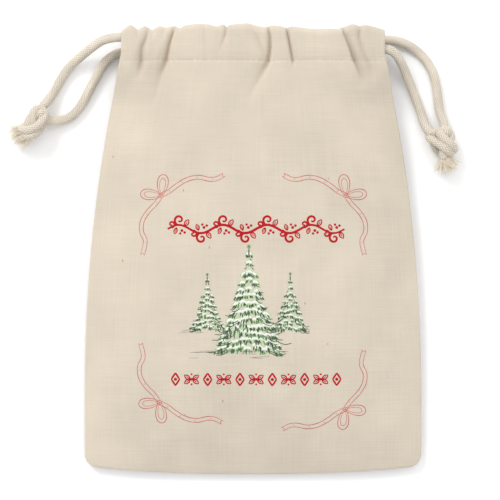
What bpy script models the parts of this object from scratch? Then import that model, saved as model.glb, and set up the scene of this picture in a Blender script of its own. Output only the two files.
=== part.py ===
"""Drawstring gift pouch: two cotton panels, a casing on each, and two cords that draw the mouth shut.

The empty pouch lies on its back with its mouth towards +Y. Metres, +Z up. The origin is under the middle
of the cloth, on the surface that the pouch lies on.
"""

import math

import bmesh
import bpy
from mathutils import Vector

# Driving dimensions
BAG_LENGTH = 0.265
HALF_WIDTH = 0.0997
MOUTH_INSET = 0.0229
TAPER_POWER = 2.2
CORNER_RADIUS = 0.007
BOTTOM_SAG = 0.005
CLOTH = 0.0008
GAP = 0.0003
CASING_DEPTH = 0.0215
CORD = 0.0055
CORD_LIFT = 0.00005
THREAD_RADIUS = 0.00025
SEAM_WIDTH = 0.007

# Places that follow from them
BOTTOM_Y = -BAG_LENGTH / 2
RIM_Y = BAG_LENGTH / 2
STITCH_Y = RIM_Y - CASING_DEPTH
CASING_Y = RIM_Y - CASING_DEPTH / 2
CASING_HALF = HALF_WIDTH - MOUTH_INSET - GAP
TAPER_FROM_Y = -0.0996
TAPER_TO_Y = 0.1156
SLIT_Y = 0.095
PANEL_TOP_Y = STITCH_Y - GAP
FLOOR_Z = CORD / 2 + CORD_LIFT

# Heights of the lying pouch
CASING_HEIGHT = CORD + 2 * GAP + 2 * CLOTH
MOUTH_GAP = 0.005
BACK_LANE_Z = CASING_HEIGHT / 2
FRONT_LANE_Z = CASING_HEIGHT * 1.5 + MOUTH_GAP
SEAM_Z = 0.005
SEAM_TOP_Z = (BACK_LANE_Z + FRONT_LANE_Z) / 2
BELLY_Z = 0.0215
SEAM_OPENING = 0.00055
SLIT_BLEND = 0.010
BELLY_RISE = 0.075
BELLY_END_Y = 0.030
BACK_CURL = 0.026
REST_HALF = 0.5
REST_END_Y = 0.085

# The two lanes that the cords take in each casing, and the turn at each end of the mouth
UPPER_LANE_Y = 0.1250
LOWER_LANE_Y = 0.1182
TURN_RADIUS = math.hypot(UPPER_LANE_Y - LOWER_LANE_Y, FRONT_LANE_Z - BACK_LANE_Z) / 2
TURN_X = CASING_HALF - TURN_RADIUS - CORD / 2
TURN_STEPS = 8
WALL_CUT = TURN_RADIUS + CORD / 2 + 0.0015

# Each free strand, from the end of the casing to its knot: where it goes, and how high its middle is
LEFT_UPPER = (
    (-0.0800, 0.1249, 0.0163),
    (-0.0882, 0.1235, 0.0142),
    (-0.0976, 0.1180, 0.0084),
    (-0.1082, 0.1098, 0.0037),
    (-0.1135, 0.1027, FLOOR_Z),
    (-0.1182, 0.0939, 0.0033),
)
LEFT_LOWER = (
    (-0.0800, 0.1174, 0.0038),
    (-0.0845, 0.1150, 0.0035),
    (-0.0886, 0.1112, 0.0030),
    (-0.0929, 0.1033, FLOOR_Z),
    (-0.0970, 0.0956, FLOOR_Z),
    (-0.1017, 0.0868, FLOOR_Z),
    (-0.1058, 0.0815, FLOOR_Z),
    (-0.1111, 0.0776, 0.0031),
)
RIGHT_UPPER = (
    (0.0800, 0.1250, 0.0038),
    (0.0845, 0.1246, 0.0036),
    (0.0917, 0.1224, 0.0031),
    (0.0982, 0.1180, FLOOR_Z),
    (0.1035, 0.1121, FLOOR_Z),
    (0.1070, 0.1051, FLOOR_Z),
    (0.1088, 0.0980, FLOOR_Z),
    (0.1100, 0.0898, FLOOR_Z),
    (0.1110, 0.0815, 0.0032),
)
RIGHT_LOWER = (
    (0.0790, 0.1181, 0.0165),
    (0.0822, 0.1166, 0.0158),
    (0.0855, 0.1134, 0.0134),
    (0.0894, 0.1068, 0.0076),
    (0.0935, 0.0980, 0.0033),
    (0.0970, 0.0892, FLOOR_Z),
    (0.0998, 0.0809, 0.0034),
)

# Knots: middle and half sizes, where each strand goes in, and which way the frayed ends lie
KNOT_HEIGHT = 0.016
LEFT_KNOT = Vector((-0.1290, 0.0745, KNOT_HEIGHT / 2 + CORD_LIFT))
LEFT_KNOT_HALF = Vector((0.0070, 0.0105, KNOT_HEIGHT / 2))
RIGHT_KNOT = Vector((0.1118, 0.0630, KNOT_HEIGHT / 2 + CORD_LIFT))
RIGHT_KNOT_HALF = Vector((0.0093, 0.0078, KNOT_HEIGHT / 2))
LEFT_UPPER_IN = Vector((0.62, 0.76, -0.20))
LEFT_LOWER_IN = Vector((0.97, 0.12, -0.22))
RIGHT_UPPER_IN = Vector((0.10, 0.97, -0.20))
RIGHT_LOWER_IN = Vector((-0.60, 0.77, -0.20))
LEFT_TAIL_WAY = Vector((-0.82, -0.47, -0.34))
RIGHT_TAIL_WAY = Vector((0.32, -0.88, -0.34))
TAIL_LENGTH = 0.0085
TAIL_HALF_WIDTH = 0.0072

COTTON = (0.72, 0.63, 0.50)
COTTON_DARK = (0.62, 0.53, 0.41)
CORD_COLOUR = (0.70, 0.62, 0.52)
FRAY_COLOUR = (0.76, 0.68, 0.57)
THREAD_COLOUR = (0.80, 0.72, 0.60)


def clamp(value, low=0.0, high=1.0):
    return max(low, min(high, value))


def smooth(value):
    t = clamp(value)
    return t * t * (3 - 2 * t)


def material(name, colour, roughness):
    made = bpy.data.materials.new(name)
    made.use_nodes = True
    shader = made.node_tree.nodes["Principled BSDF"]
    shader.inputs["Base Color"].default_value = (*colour, 1)
    shader.inputs["Roughness"].default_value = roughness
    shader.inputs["Metallic"].default_value = 0.0
    return made


def add_object(name, data, collection, finish=None):
    made = bpy.data.objects.new(name, data)
    collection.objects.link(made)
    if finish:
        data.materials.append(finish)
    return made


def mesh_from(bm, name):
    bmesh.ops.recalc_face_normals(bm, faces=bm.faces[:])
    data = bpy.data.meshes.new(name)
    bm.to_mesh(data)
    bm.free()
    data.shade_smooth()
    data.set_sharp_from_angle(angle=math.radians(50))
    return data


def half_width(y):
    """Half the width of the lying pouch at a height up it: straight low down, drawn in at the mouth."""
    rise = clamp((y - TAPER_FROM_Y) / (TAPER_TO_Y - TAPER_FROM_Y))
    return HALF_WIDTH - MOUTH_INSET * rise**TAPER_POWER


def bottom_edge(x):
    return BOTTOM_Y + BOTTOM_SAG * (abs(x) / HALF_WIDTH) ** 2.4


def cloth_plan(u, up):
    """The place on the surface below a point u across the cloth, -1 to 1, and up it, 0 to 1."""
    rise = up * (PANEL_TOP_Y - BOTTOM_Y)
    half = half_width(BOTTOM_Y + rise)
    if rise < CORNER_RADIUS:
        half -= CORNER_RADIUS - math.sqrt(CORNER_RADIUS**2 - (CORNER_RADIUS - rise) ** 2)
    x = u * half
    y = bottom_edge(x) + up * (PANEL_TOP_Y - bottom_edge(x))
    return x, y


def edge_height(y):
    """The height of the side seam, and half the opening between the panels above its end."""
    seam = SEAM_Z + (SEAM_TOP_Z - SEAM_Z) * smooth((y - BOTTOM_Y) / (PANEL_TOP_Y - BOTTOM_Y))
    slit = (FRONT_LANE_Z - SEAM_TOP_Z) * smooth((y - SLIT_Y) / (PANEL_TOP_Y - SLIT_Y))
    return seam, slit


def edge_skin(y):
    """How far a panel's outside is from the middle of the seam, and from the lane's height above the slit."""
    free = smooth((y - SLIT_Y) / SLIT_BLEND)
    return (SEAM_OPENING + CLOTH) * (1 - free) + CLOTH / 2 * free


def front_height(u, y):
    """The outside of the front panel: a low dome that meets the seams and the front casing."""
    seam, slit = edge_height(y)
    rise = y - BOTTOM_Y
    low = SEAM_Z + (BELLY_Z - SEAM_Z) * math.sin(math.pi / 2 * clamp(rise / BELLY_RISE)) ** 0.8
    middle = low + (FRONT_LANE_Z - BELLY_Z) * smooth((y - BELLY_END_Y) / (PANEL_TOP_Y - BELLY_END_Y))
    side = abs(u) ** 3
    return side * (seam + slit) + (1 - side) * middle + edge_skin(y)


def back_height(u, y):
    """The outside of the back panel: flat on the surface in its middle, up to the seams and the casing."""
    seam, slit = edge_height(y)
    rise = y - BOTTOM_Y
    curl = clamp(1 - rise / BACK_CURL) ** 2
    lift = smooth((y - REST_END_Y) / (PANEL_TOP_Y - REST_END_Y))
    middle = (SEAM_Z - SEAM_OPENING - CLOTH) * curl + (BACK_LANE_Z - CLOTH / 2) * lift
    side = clamp((abs(u) - REST_HALF) / (1 - REST_HALF)) ** 2
    edge = seam - slit - edge_skin(y)
    return side * edge + (1 - side) * middle


def between(u, y):
    return (front_height(u, y) + back_height(u, y)) / 2


def cloth_point(u, up, height):
    x, y = cloth_plan(u, up)
    return Vector((x, y, height(u, y)))


def add_panel(name, height, collection, finish):
    """One cloth panel: a grid laid on its surface, closer near the edges, and given its thickness inwards."""
    bm = bmesh.new()
    bmesh.ops.create_grid(bm, x_segments=16, y_segments=18, size=1)
    for vert in bm.verts:
        u = math.sin(vert.co.x * math.pi / 2)
        up = (1 + math.sin(vert.co.y * math.pi / 2)) / 2
        vert.co = cloth_point(u, up, height)
    if height is back_height:
        bmesh.ops.reverse_faces(bm, faces=bm.faces[:])
    data = bpy.data.meshes.new(name)
    bm.to_mesh(data)
    bm.free()
    data.shade_smooth()
    panel = add_object(name, data, collection, finish)
    skin = panel.modifiers.new("cloth", "SOLIDIFY")
    skin.thickness = CLOTH
    skin.offset = -1
    return panel


def add_strip(name, place, collection, finish):
    """A seam allowance: a narrow strip between the panels, given by a rule from (along, across)."""
    bm = bmesh.new()
    bmesh.ops.create_grid(bm, x_segments=18, y_segments=2, size=1)
    for vert in bm.verts:
        vert.co = place((vert.co.x + 1) / 2, (vert.co.y + 1) / 2)
    data = bpy.data.meshes.new(name)
    bm.to_mesh(data)
    bm.free()
    data.shade_smooth()
    strip = add_object(name, data, collection, finish)
    skin = strip.modifiers.new("cloth", "SOLIDIFY")
    skin.thickness = CLOTH
    skin.offset = 0
    return strip


def side_place(side):
    """The rule of a side seam allowance, from just above the bottom corner to the end of the seam."""

    def place(along, across):
        up = 0.055 + along * 0.865
        x, y = cloth_plan(1, up)
        inset = 0.0024 + across * SEAM_WIDTH
        u = side * (1 - inset / x)
        return cloth_point(u, up, between)

    return place


def bottom_place(along, across):
    u = (along * 2 - 1) * 0.9
    up = (0.0030 + across * SEAM_WIDTH) / (PANEL_TOP_Y - BOTTOM_Y)
    return cloth_point(u, up, between)


def add_tube(name, points, radius, resolution, collection, finish):
    """A plain round tube through a list of points, closed at both ends."""
    data = bpy.data.curves.new(name, "CURVE")
    data.dimensions = "3D"
    data.bevel_depth = radius
    data.bevel_resolution = resolution
    data.use_fill_caps = True
    spline = data.splines.new("POLY")
    spline.points.add(len(points) - 1)
    for point, place in zip(spline.points, points):
        point.co = (*place, 1)
    return add_object(name, data, collection, finish)


def side_thread(side):
    steps = 20
    points = []
    for i in range(steps + 1):
        up = 0.045 + i / steps * 0.875
        x, y = cloth_plan(1, up)
        points.append(cloth_point(side * (1 - 0.0008 / x), up, between))
    return points


def bottom_thread():
    steps = 20
    up = 0.0009 / (PANEL_TOP_Y - BOTTOM_Y)
    return [cloth_point((2 * i / steps - 1) * 0.94, up, between) for i in range(steps + 1)]


def casing_thread(z):
    steps = 14
    half = CASING_HALF - 0.001
    return [Vector(((2 * i / steps - 1) * half, STITCH_Y - GAP / 2, z)) for i in range(steps + 1)]


def add_casing(name, middle_z, mouth_side, collection, cutters, finish):
    """A casing: a flattened tube across the mouth. Its wall on the mouth side stops short of both ends,
    which leaves room for the turn of the cord that comes back through the other casing."""
    bm = bmesh.new()
    bmesh.ops.create_cone(
        bm, cap_ends=False, segments=24, radius1=1, radius2=1, depth=2 * CASING_HALF
    )
    end_radius = CASING_HEIGHT / 2
    straight = CASING_DEPTH / 2 - end_radius
    for vert in bm.verts:
        across, high, along = vert.co
        shift = straight * clamp(across * 2.2, -1, 1)
        vert.co = (along, CASING_Y + shift + across * end_radius, middle_z + high * end_radius)
    casing = add_object(name, mesh_from(bm, name), collection, finish)
    skin = casing.modifiers.new("cloth", "SOLIDIFY")
    skin.thickness = CLOTH
    skin.offset = -1
    for side in (-1, 1):
        box = bmesh.new()
        bmesh.ops.create_cube(box, size=1)
        size = Vector((2 * WALL_CUT, UPPER_LANE_Y - LOWER_LANE_Y + CORD + 0.002, CLOTH * 4))
        lanes_y = (UPPER_LANE_Y + LOWER_LANE_Y) / 2
        centre = Vector((side * CASING_HALF, lanes_y, middle_z + mouth_side * end_radius))
        for vert in box.verts:
            vert.co = Vector(a * b for a, b in zip(vert.co, size)) + centre
        end = "right" if side > 0 else "left"
        cutter = add_object(f"{name}_cut_{end}", mesh_from(box, "cut"), cutters)
        cutter.hide_render = True
        cutter.display_type = "WIRE"
        cut = casing.modifiers.new("turn room", "BOOLEAN")
        cut.operation = "DIFFERENCE"
        cut.object = cutter
    return casing


def spline_through(route, spacing):
    """Points a set distance apart on one smooth curve through the route's own points."""
    fine = []
    ends = [2 * route[0] - route[1], *route, 2 * route[-1] - route[-2]]
    for before, start, end, after in zip(ends, ends[1:], ends[2:], ends[3:]):
        for i in range(24):
            t = i / 24
            fine.append(
                0.5
                * (
                    2 * start
                    + (end - before) * t
                    + (2 * before - 5 * start + 4 * end - after) * t * t
                    + (3 * start - before - 3 * end + after) * t**3
                )
            )
    fine.append(route[-1])
    total = sum((b - a).length for a, b in zip(fine, fine[1:]))
    count = max(2, round(total / spacing))
    step = total / count
    points = [fine[0]]
    gone = 0.0
    for a, b in zip(fine, fine[1:]):
        length = (b - a).length
        while length > 0 and gone + length >= step * len(points) and len(points) < count:
            points.append(a.lerp(b, (step * len(points) - gone) / length))
        gone += length
    points.append(fine[-1])
    return points


def turn(side, front_y, back_y):
    """The half circle that takes a cord from its lane in the front casing to its lane in the back one."""
    front = Vector((side * TURN_X, front_y, FRONT_LANE_Z))
    back = Vector((side * TURN_X, back_y, BACK_LANE_Z))
    centre = (front + back) / 2
    arm = front - centre
    out = Vector((side * TURN_RADIUS, 0, 0))
    angles = [math.pi * i / TURN_STEPS for i in range(TURN_STEPS + 1)]
    return [centre + arm * math.cos(a) + out * math.sin(a) for a in angles]


def knot_entry(middle, half, way, clear):
    """The point a set distance off a knot, straight out from where its surface faces a given way."""
    out = way.normalized()
    wide = math.sqrt(sum((h * o) ** 2 for h, o in zip(half, out)))
    return middle + Vector(h * h * o / wide for h, o in zip(half, out)) + out * clear


def free_strand(start, route, middle, half, way):
    """A strand from the end of its casing to its knot, which it meets square on."""
    before = knot_entry(middle, half, way, GAP + CORD)
    route = [start, *(Vector(p) for p in route), before]
    return spline_through(route, 2 * CORD) + [knot_entry(middle, half, way, GAP)]


def drawstring_points(side, knot, front, back):
    """One whole cord: knot, front strand, front casing, turn, back casing, back strand, knot.
    front and back are each the lane, the strand's route and the way it leaves the knot."""
    front_y, front_route, front_way = front
    back_y, back_route, back_way = back
    start = Vector((side * CASING_HALF, front_y, FRONT_LANE_Z))
    finish = Vector((side * CASING_HALF, back_y, BACK_LANE_Z))
    out = free_strand(start, front_route, *knot, front_way)
    home = free_strand(finish, back_route, *knot, back_way)
    lane_steps = 11
    front_lane = [
        start.lerp(Vector((-side * TURN_X, front_y, FRONT_LANE_Z)), i / lane_steps)
        for i in range(1, lane_steps)
    ]
    back_lane = [
        Vector((-side * TURN_X, back_y, BACK_LANE_Z)).lerp(finish, i / lane_steps)
        for i in range(1, lane_steps)
    ]
    return out[::-1] + front_lane + turn(-side, front_y, back_y) + back_lane + home


def add_knot(name, middle, half, collection, finish):
    bm = bmesh.new()
    bmesh.ops.create_uvsphere(bm, u_segments=16, v_segments=10, radius=1)
    for vert in bm.verts:
        vert.co = Vector(a * b for a, b in zip(vert.co, half)) + middle
    return add_object(name, mesh_from(bm, name), collection, finish)


def add_frayed_ends(name, knot, half, way, collection, finish):
    """The cut ends beyond a knot: a fan that flattens out onto the surface."""
    flat = Vector((way.x, way.y, 0)).normalized()
    root = knot_entry(knot, half, way, 5 * GAP)
    across = Vector((-flat.y, flat.x, 0))
    bm = bmesh.new()
    bmesh.ops.create_cone(bm, cap_ends=True, segments=12, radius1=1, radius2=1, depth=1)
    for vert in bm.verts:
        wide, high, along = vert.co
        along += 0.5
        wide *= CORD / 2 + (TAIL_HALF_WIDTH - CORD / 2) * along
        high *= CORD / 2
        lift = root.z + (FLOOR_Z - root.z) * along
        out = flat * (along * TAIL_LENGTH + high * way.z)
        vert.co = Vector((root.x, root.y, lift + high)) + out + across * wide
    return add_object(name, mesh_from(bm, name), collection, finish)


def build():
    for old in list(bpy.data.objects):
        bpy.data.objects.remove(old, do_unlink=True)
    pouch = bpy.data.collections.new("drawstring_gift_pouch")
    cutters = bpy.data.collections.new("cutters")
    bpy.context.scene.collection.children.link(pouch)
    bpy.context.scene.collection.children.link(cutters)

    cotton = material("cotton", COTTON, 0.92)
    cotton_inside = material("cotton_inside", COTTON_DARK, 0.95)
    cord = material("cotton_cord", CORD_COLOUR, 0.90)
    fray = material("frayed_cotton", FRAY_COLOUR, 0.95)
    thread = material("sewing_thread", THREAD_COLOUR, 0.80)

    add_panel("front_panel", front_height, pouch, cotton)
    add_panel("back_panel", back_height, pouch, cotton)
    add_casing("front_channel", FRONT_LANE_Z, -1, pouch, cutters, cotton)
    add_casing("back_channel", BACK_LANE_Z, 1, pouch, cutters, cotton)

    add_strip("left_seam_allowance", side_place(-1), pouch, cotton_inside)
    add_strip("right_seam_allowance", side_place(1), pouch, cotton_inside)
    add_strip("bottom_seam_allowance", bottom_place, pouch, cotton_inside)

    add_tube("left_seam_thread", side_thread(-1), THREAD_RADIUS, 0, pouch, thread)
    add_tube("right_seam_thread", side_thread(1), THREAD_RADIUS, 0, pouch, thread)
    add_tube("bottom_seam_thread", bottom_thread(), THREAD_RADIUS, 0, pouch, thread)
    over = CLOTH / 2 + GAP + THREAD_RADIUS
    add_tube("front_channel_thread", casing_thread(FRONT_LANE_Z + over), THREAD_RADIUS, 0, pouch, thread)
    add_tube("back_channel_thread", casing_thread(BACK_LANE_Z - over), THREAD_RADIUS, 0, pouch, thread)

    left = drawstring_points(
        -1,
        (LEFT_KNOT, LEFT_KNOT_HALF),
        (UPPER_LANE_Y, LEFT_UPPER, LEFT_UPPER_IN),
        (LOWER_LANE_Y, LEFT_LOWER, LEFT_LOWER_IN),
    )
    right = drawstring_points(
        1,
        (RIGHT_KNOT, RIGHT_KNOT_HALF),
        (LOWER_LANE_Y, RIGHT_LOWER, RIGHT_LOWER_IN),
        (UPPER_LANE_Y, RIGHT_UPPER, RIGHT_UPPER_IN),
    )
    add_tube("left_drawstring", left, CORD / 2, 2, pouch, cord)
    add_tube("right_drawstring", right, CORD / 2, 2, pouch, cord)
    add_knot("left_knot", LEFT_KNOT, LEFT_KNOT_HALF, pouch, cord)
    add_knot("right_knot", RIGHT_KNOT, RIGHT_KNOT_HALF, pouch, cord)
    add_frayed_ends("left_frayed_ends", LEFT_KNOT, LEFT_KNOT_HALF, LEFT_TAIL_WAY, pouch, fray)
    add_frayed_ends("right_frayed_ends", RIGHT_KNOT, RIGHT_KNOT_HALF, RIGHT_TAIL_WAY, pouch, fray)


build()
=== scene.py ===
"""Looks of the drawstring gift pouch: its cloth, cords, knots, stitching and print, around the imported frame.

Metres, in the frame of the part. The empty pouch lies on its back with its mouth towards +Y.
"""

import math

import bpy
import numpy as np
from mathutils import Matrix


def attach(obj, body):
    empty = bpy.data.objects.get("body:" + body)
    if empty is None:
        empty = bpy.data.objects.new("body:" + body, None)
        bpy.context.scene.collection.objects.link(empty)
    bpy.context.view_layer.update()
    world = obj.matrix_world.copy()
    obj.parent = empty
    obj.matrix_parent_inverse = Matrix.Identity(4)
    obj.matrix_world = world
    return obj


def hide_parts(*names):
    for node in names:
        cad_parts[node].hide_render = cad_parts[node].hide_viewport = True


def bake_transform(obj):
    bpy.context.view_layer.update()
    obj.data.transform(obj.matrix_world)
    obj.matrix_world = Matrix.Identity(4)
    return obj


bl_info = {
    "name": "Drawstring gift pouch",
    "version": (1, 0, 0),
    "blender": (4, 5, 0),
    "location": "View3D > Sidebar > Pouch",
    "description": "Builds the looks of a drawstring gift pouch around its packed frame",
    "category": "Object",
}

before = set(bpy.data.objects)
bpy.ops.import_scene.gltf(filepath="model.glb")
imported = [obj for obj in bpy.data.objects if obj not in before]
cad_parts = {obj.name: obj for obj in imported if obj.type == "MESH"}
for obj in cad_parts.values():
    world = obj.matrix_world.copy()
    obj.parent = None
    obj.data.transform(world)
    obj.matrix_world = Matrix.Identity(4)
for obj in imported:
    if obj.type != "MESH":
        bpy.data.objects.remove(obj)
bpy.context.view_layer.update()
MM = 0.001

# The lying pouch, as in the part
BOTTOM_Y, RIM_Y = -0.1325, 0.1325
STITCH_Y = 0.111
HALF_WIDTH = 0.0997
MOUTH_INSET = 0.0229
MOUTH_HALF = HALF_WIDTH - MOUTH_INSET
TAPER_POWER = 2.2
TAPER_FROM_Y, TAPER_TO_Y = -0.0996, 0.1156
CORNER_RADIUS = 0.007
BOTTOM_SAG = 0.005
SLIT_Y = 0.095
SLIT_EASE_Y = 0.084
SEAM_Z, SEAM_TOP_Z = 0.005, 0.0102
BELLY_Z, BELLY_RISE, BELLY_END_Y = 0.0230, 0.075, 0.030

# Heights of the cloth round the cords
STITCH_Z = 0.0231
CASING_TOP_Z = 0.0238
CASING_END_Z = 0.0216
CASING_FLOOR_Z = 0.0132
BACK_INNER_Z = 0.0072
BACK_EDGE_Z = 0.0001
ROLL_DEPTH = 0.0040
INNER_END_Y = 0.1126
OPEN_HALF = 0.0600
FLOOR_CLEAR = 0.00003
EDGE_RADIUS = 0.0011
DEEPEST_FOLD = 0.0035
FOLD_HEIGHT = 0.74
FOLD_WIDTH = 0.84
FLAT_HALF = 0.1080

# Cords: lanes in the casings, free strands, knots
CORD = 0.0055
FLOOR_Z = CORD / 2 + 0.00005
FRONT_LANE_Z, BACK_LANE_Z = 0.01655, 0.00385
UPPER_LANE_Y, LOWER_LANE_Y = 0.1250, 0.1182
CASING_HALF = 0.0765
TURN_RADIUS = math.hypot(UPPER_LANE_Y - LOWER_LANE_Y, FRONT_LANE_Z - BACK_LANE_Z) / 2
TURN_X = CASING_HALF - TURN_RADIUS - CORD / 2
LEFT_UPPER = (
    (-0.0800, 0.1249, 0.0163),
    (-0.0882, 0.1235, 0.0142),
    (-0.0976, 0.1180, 0.0084),
    (-0.1082, 0.1098, 0.0037),
    (-0.1135, 0.1027, FLOOR_Z),
    (-0.1182, 0.0939, 0.0033),
)
LEFT_LOWER = (
    (-0.0800, 0.1174, 0.0038),
    (-0.0845, 0.1150, 0.0035),
    (-0.0886, 0.1112, 0.0030),
    (-0.0929, 0.1033, FLOOR_Z),
    (-0.0970, 0.0956, FLOOR_Z),
    (-0.1017, 0.0868, FLOOR_Z),
    (-0.1058, 0.0815, FLOOR_Z),
    (-0.1111, 0.0776, 0.0031),
)
RIGHT_UPPER = (
    (0.0800, 0.1250, 0.0038),
    (0.0845, 0.1246, 0.0036),
    (0.0917, 0.1224, 0.0031),
    (0.0982, 0.1180, FLOOR_Z),
    (0.1035, 0.1121, FLOOR_Z),
    (0.1070, 0.1051, FLOOR_Z),
    (0.1088, 0.0980, FLOOR_Z),
    (0.1100, 0.0898, FLOOR_Z),
    (0.1110, 0.0815, 0.0032),
)
RIGHT_LOWER = (
    (0.0790, 0.1181, 0.0165),
    (0.0822, 0.1166, 0.0158),
    (0.0855, 0.1134, 0.0134),
    (0.0894, 0.1068, 0.0076),
    (0.0935, 0.0980, 0.0033),
    (0.0970, 0.0892, FLOOR_Z),
    (0.0998, 0.0809, 0.0034),
)
KNOT_Z = 0.00805
LEFT_KNOT, LEFT_KNOT_HALF = (-0.1290, 0.0745, KNOT_Z), (0.0070, 0.0105, 0.008)
RIGHT_KNOT, RIGHT_KNOT_HALF = (0.1118, 0.0630, KNOT_Z), (0.0093, 0.0078, 0.008)
LEFT_UPPER_IN, LEFT_LOWER_IN = (0.62, 0.76, -0.20), (0.97, 0.12, -0.22)
RIGHT_UPPER_IN, RIGHT_LOWER_IN = (0.10, 0.97, -0.20), (-0.60, 0.77, -0.20)

STRAND = 0.0051
# The size of each knot along its tails, across them and upwards, against the one that is pulled tight
KNOT_SIZES = {"left": (0.92, 0.82, 0.82), "right": (0.72, 1.00, 0.82)}
# Which way a knot's tails leave, how far it is rolled, and whether it is mirrored
KNOT_TURNS = {"left": ((-0.42, -0.91), 0.35, 1), "right": ((0.18, -0.98), 1.20, -1)}

# Which way the tails point beyond a knot, and how far its strands run before and after its middle
TAIL_WAYS = {"left": (-0.97, -0.24), "right": (0.40, -0.92)}
KNOT_REACH, TAIL_REACH = 0.0085, 0.0056

# The top edge of the gathered mouth, from the left end to the right, in millimetres
RIM_WAVES = (
    (-77.0, 128.2), (-74.6, 130.2), (-71.7, 132.0), (-69.3, 130.6), (-67.0, 129.2), (-63.5, 131.0),
    (-61.0, 130.3), (-58.8, 128.8), (-54.7, 131.0), (-50.5, 130.3), (-47.5, 131.1), (-45.0, 130.9),
    (-42.9, 129.8), (-40.0, 131.4), (-34.0, 132.2), (-26.5, 132.2), (-21.5, 130.9), (-17.2, 132.0),
    (-15.4, 130.6), (-12.8, 131.9), (-7.0, 132.4),
    (-3.0, 132.7), (1.8, 131.4), (6.6, 130.4), (10.5, 131.3), (16.0, 131.0), (19.6, 130.1), (22.9, 130.8),
    (33.5, 129.5), (47.6, 129.4), (50.8, 129.8), (57.5, 132.1), (62.0, 131.4), (66.3, 131.7), (70.5, 130.8),
    (77.0, 129.0),
)

# Folds where the cloth is gathered, each from the top edge down, in millimetres:
# x, y, depth, width to the left, width to the right
FOLDS = (
    ((-60.6, 132.0, 2.4, 1.0, 1.5), (-61.8, 124.5, 2.6, 1.5, 1.6), (-64.4, 118.0, 3.4, 2.0, 1.8),
     (-65.3, 109.6, 4.2, 3.0, 2.0), (-66.8, 101.0, 1.2, 4.0, 4.0), (-68.0, 94.0, 0.0, 5.0, 6.0)),
    ((-68.0, 132.0, 2.0, 1.0, 1.0), (-67.4, 125.5, 1.5, 1.1, 1.1), (-66.6, 119.0, 0.0, 1.5, 1.5)),
    ((-55.6, 132.5, 2.6, 1.0, 1.0), (-58.2, 126.0, 1.7, 1.0, 1.1), (-60.0, 118.0, 0.0, 1.4, 1.5)),
    ((-51.2, 132.5, 2.0, 1.0, 1.0), (-52.0, 126.5, 1.2, 1.1, 1.3), (-53.0, 119.0, 0.0, 1.5, 2.0)),
    ((-44.4, 132.0, 3.2, 1.6, 0.8), (-48.2, 121.0, 4.0, 2.2, 0.9), (-50.4, 110.9, 4.6, 3.4, 1.2),
     (-54.1, 101.5, 2.6, 5.0, 2.4), (-57.5, 89.0, 1.1, 6.5, 4.0), (-64.0, 74.0, 0.0, 8.0, 7.0)),
    ((-28.6, 130.0, 0.7, 0.9, 1.1), (-27.6, 120.0, 0.9, 1.2, 1.6), (-27.6, 106.0, 0.0, 1.5, 2.0)),
    ((-15.4, 132.5, 3.6, 0.8, 0.9), (-16.0, 125.8, 2.0, 0.9, 1.3), (-18.8, 117.0, 0.6, 1.3, 2.0),
     (-20.0, 110.0, 0.0, 1.3, 2.4)),
    ((-1.0, 131.0, 0.6, 3.0, 2.0), (3.4, 122.0, 2.0, 4.0, 2.0), (6.0, 115.0, 1.8, 3.0, 1.5),
     (7.0, 109.0, 0.0, 3.0, 2.0)),
    ((7.8, 132.5, 3.2, 1.1, 1.3), (10.2, 122.7, 3.8, 1.8, 0.8), (9.2, 110.9, 4.6, 3.8, 1.1),
     (4.6, 102.0, 2.8, 5.5, 2.2), (-1.4, 90.0, 1.2, 7.5, 4.5), (-7.0, 72.0, 0.0, 9.0, 8.0)),
    ((18.8, 132.5, 3.0, 1.0, 1.0), (20.6, 124.0, 3.8, 0.9, 0.9), (22.9, 111.5, 3.2, 0.8, 1.2),
     (24.4, 103.0, 0.0, 1.6, 2.4)),
    ((24.4, 132.5, 1.8, 0.8, 1.2), (21.6, 126.5, 1.2, 0.8, 1.4), (21.0, 121.0, 0.0, 1.0, 1.5)),
    ((50.0, 132.0, 2.2, 0.6, 3.0), (54.4, 122.7, 3.4, 0.6, 3.4), (58.4, 111.5, 4.4, 0.7, 5.5),
     (62.0, 104.0, 3.0, 1.5, 6.5), (66.0, 92.0, 0.0, 5.0, 8.0)),
    ((64.5, 132.0, 2.2, 1.6, 1.0), (61.8, 125.0, 2.6, 1.8, 1.4), (64.0, 116.0, 2.4, 2.0, 3.0),
     (68.0, 107.0, 2.0, 3.0, 3.5), (71.0, 96.0, 0.0, 5.0, 5.0)),
    ((36.0, 131.0, 0.5, 2.0, 3.0), (37.5, 120.0, 0.8, 2.0, 4.0), (40.0, 104.0, 0.0, 4.0, 6.0)),
)

# Broad soft swells over the cloth: wave vector in 1/m, start in turns, height in metres
SWELLS = (
    (9.0, 14.0, 0.10, 0.00042), (-17.0, 11.0, 0.63, 0.00028), (24.0, 5.0, 0.31, 0.00018),
    (7.0, 31.0, 0.82, 0.00015), (-38.0, 21.0, 0.47, 0.00007), (33.0, -42.0, 0.05, 0.00005),
)


def smooth(value):
    t = np.clip(value, 0.0, 1.0)
    return t * t * (3 - 2 * t)


def half_width(y):
    rise = np.clip((y - TAPER_FROM_Y) / (TAPER_TO_Y - TAPER_FROM_Y), 0.0, 1.0)
    return HALF_WIDTH - MOUTH_INSET * rise**TAPER_POWER


def bottom_edge(x):
    return BOTTOM_Y + BOTTOM_SAG * (np.abs(x) / HALF_WIDTH) ** 2.4


def rim_y(x, drop=0.0):
    """The top edge above a place across the mouth, as a smooth line through its waves."""
    knots = np.array(RIM_WAVES) * MM
    fine = spline(np.column_stack([knots, np.zeros(len(knots))]), 0.0004)
    return np.interp(x, fine[:, 0], fine[:, 1]) - drop


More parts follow.
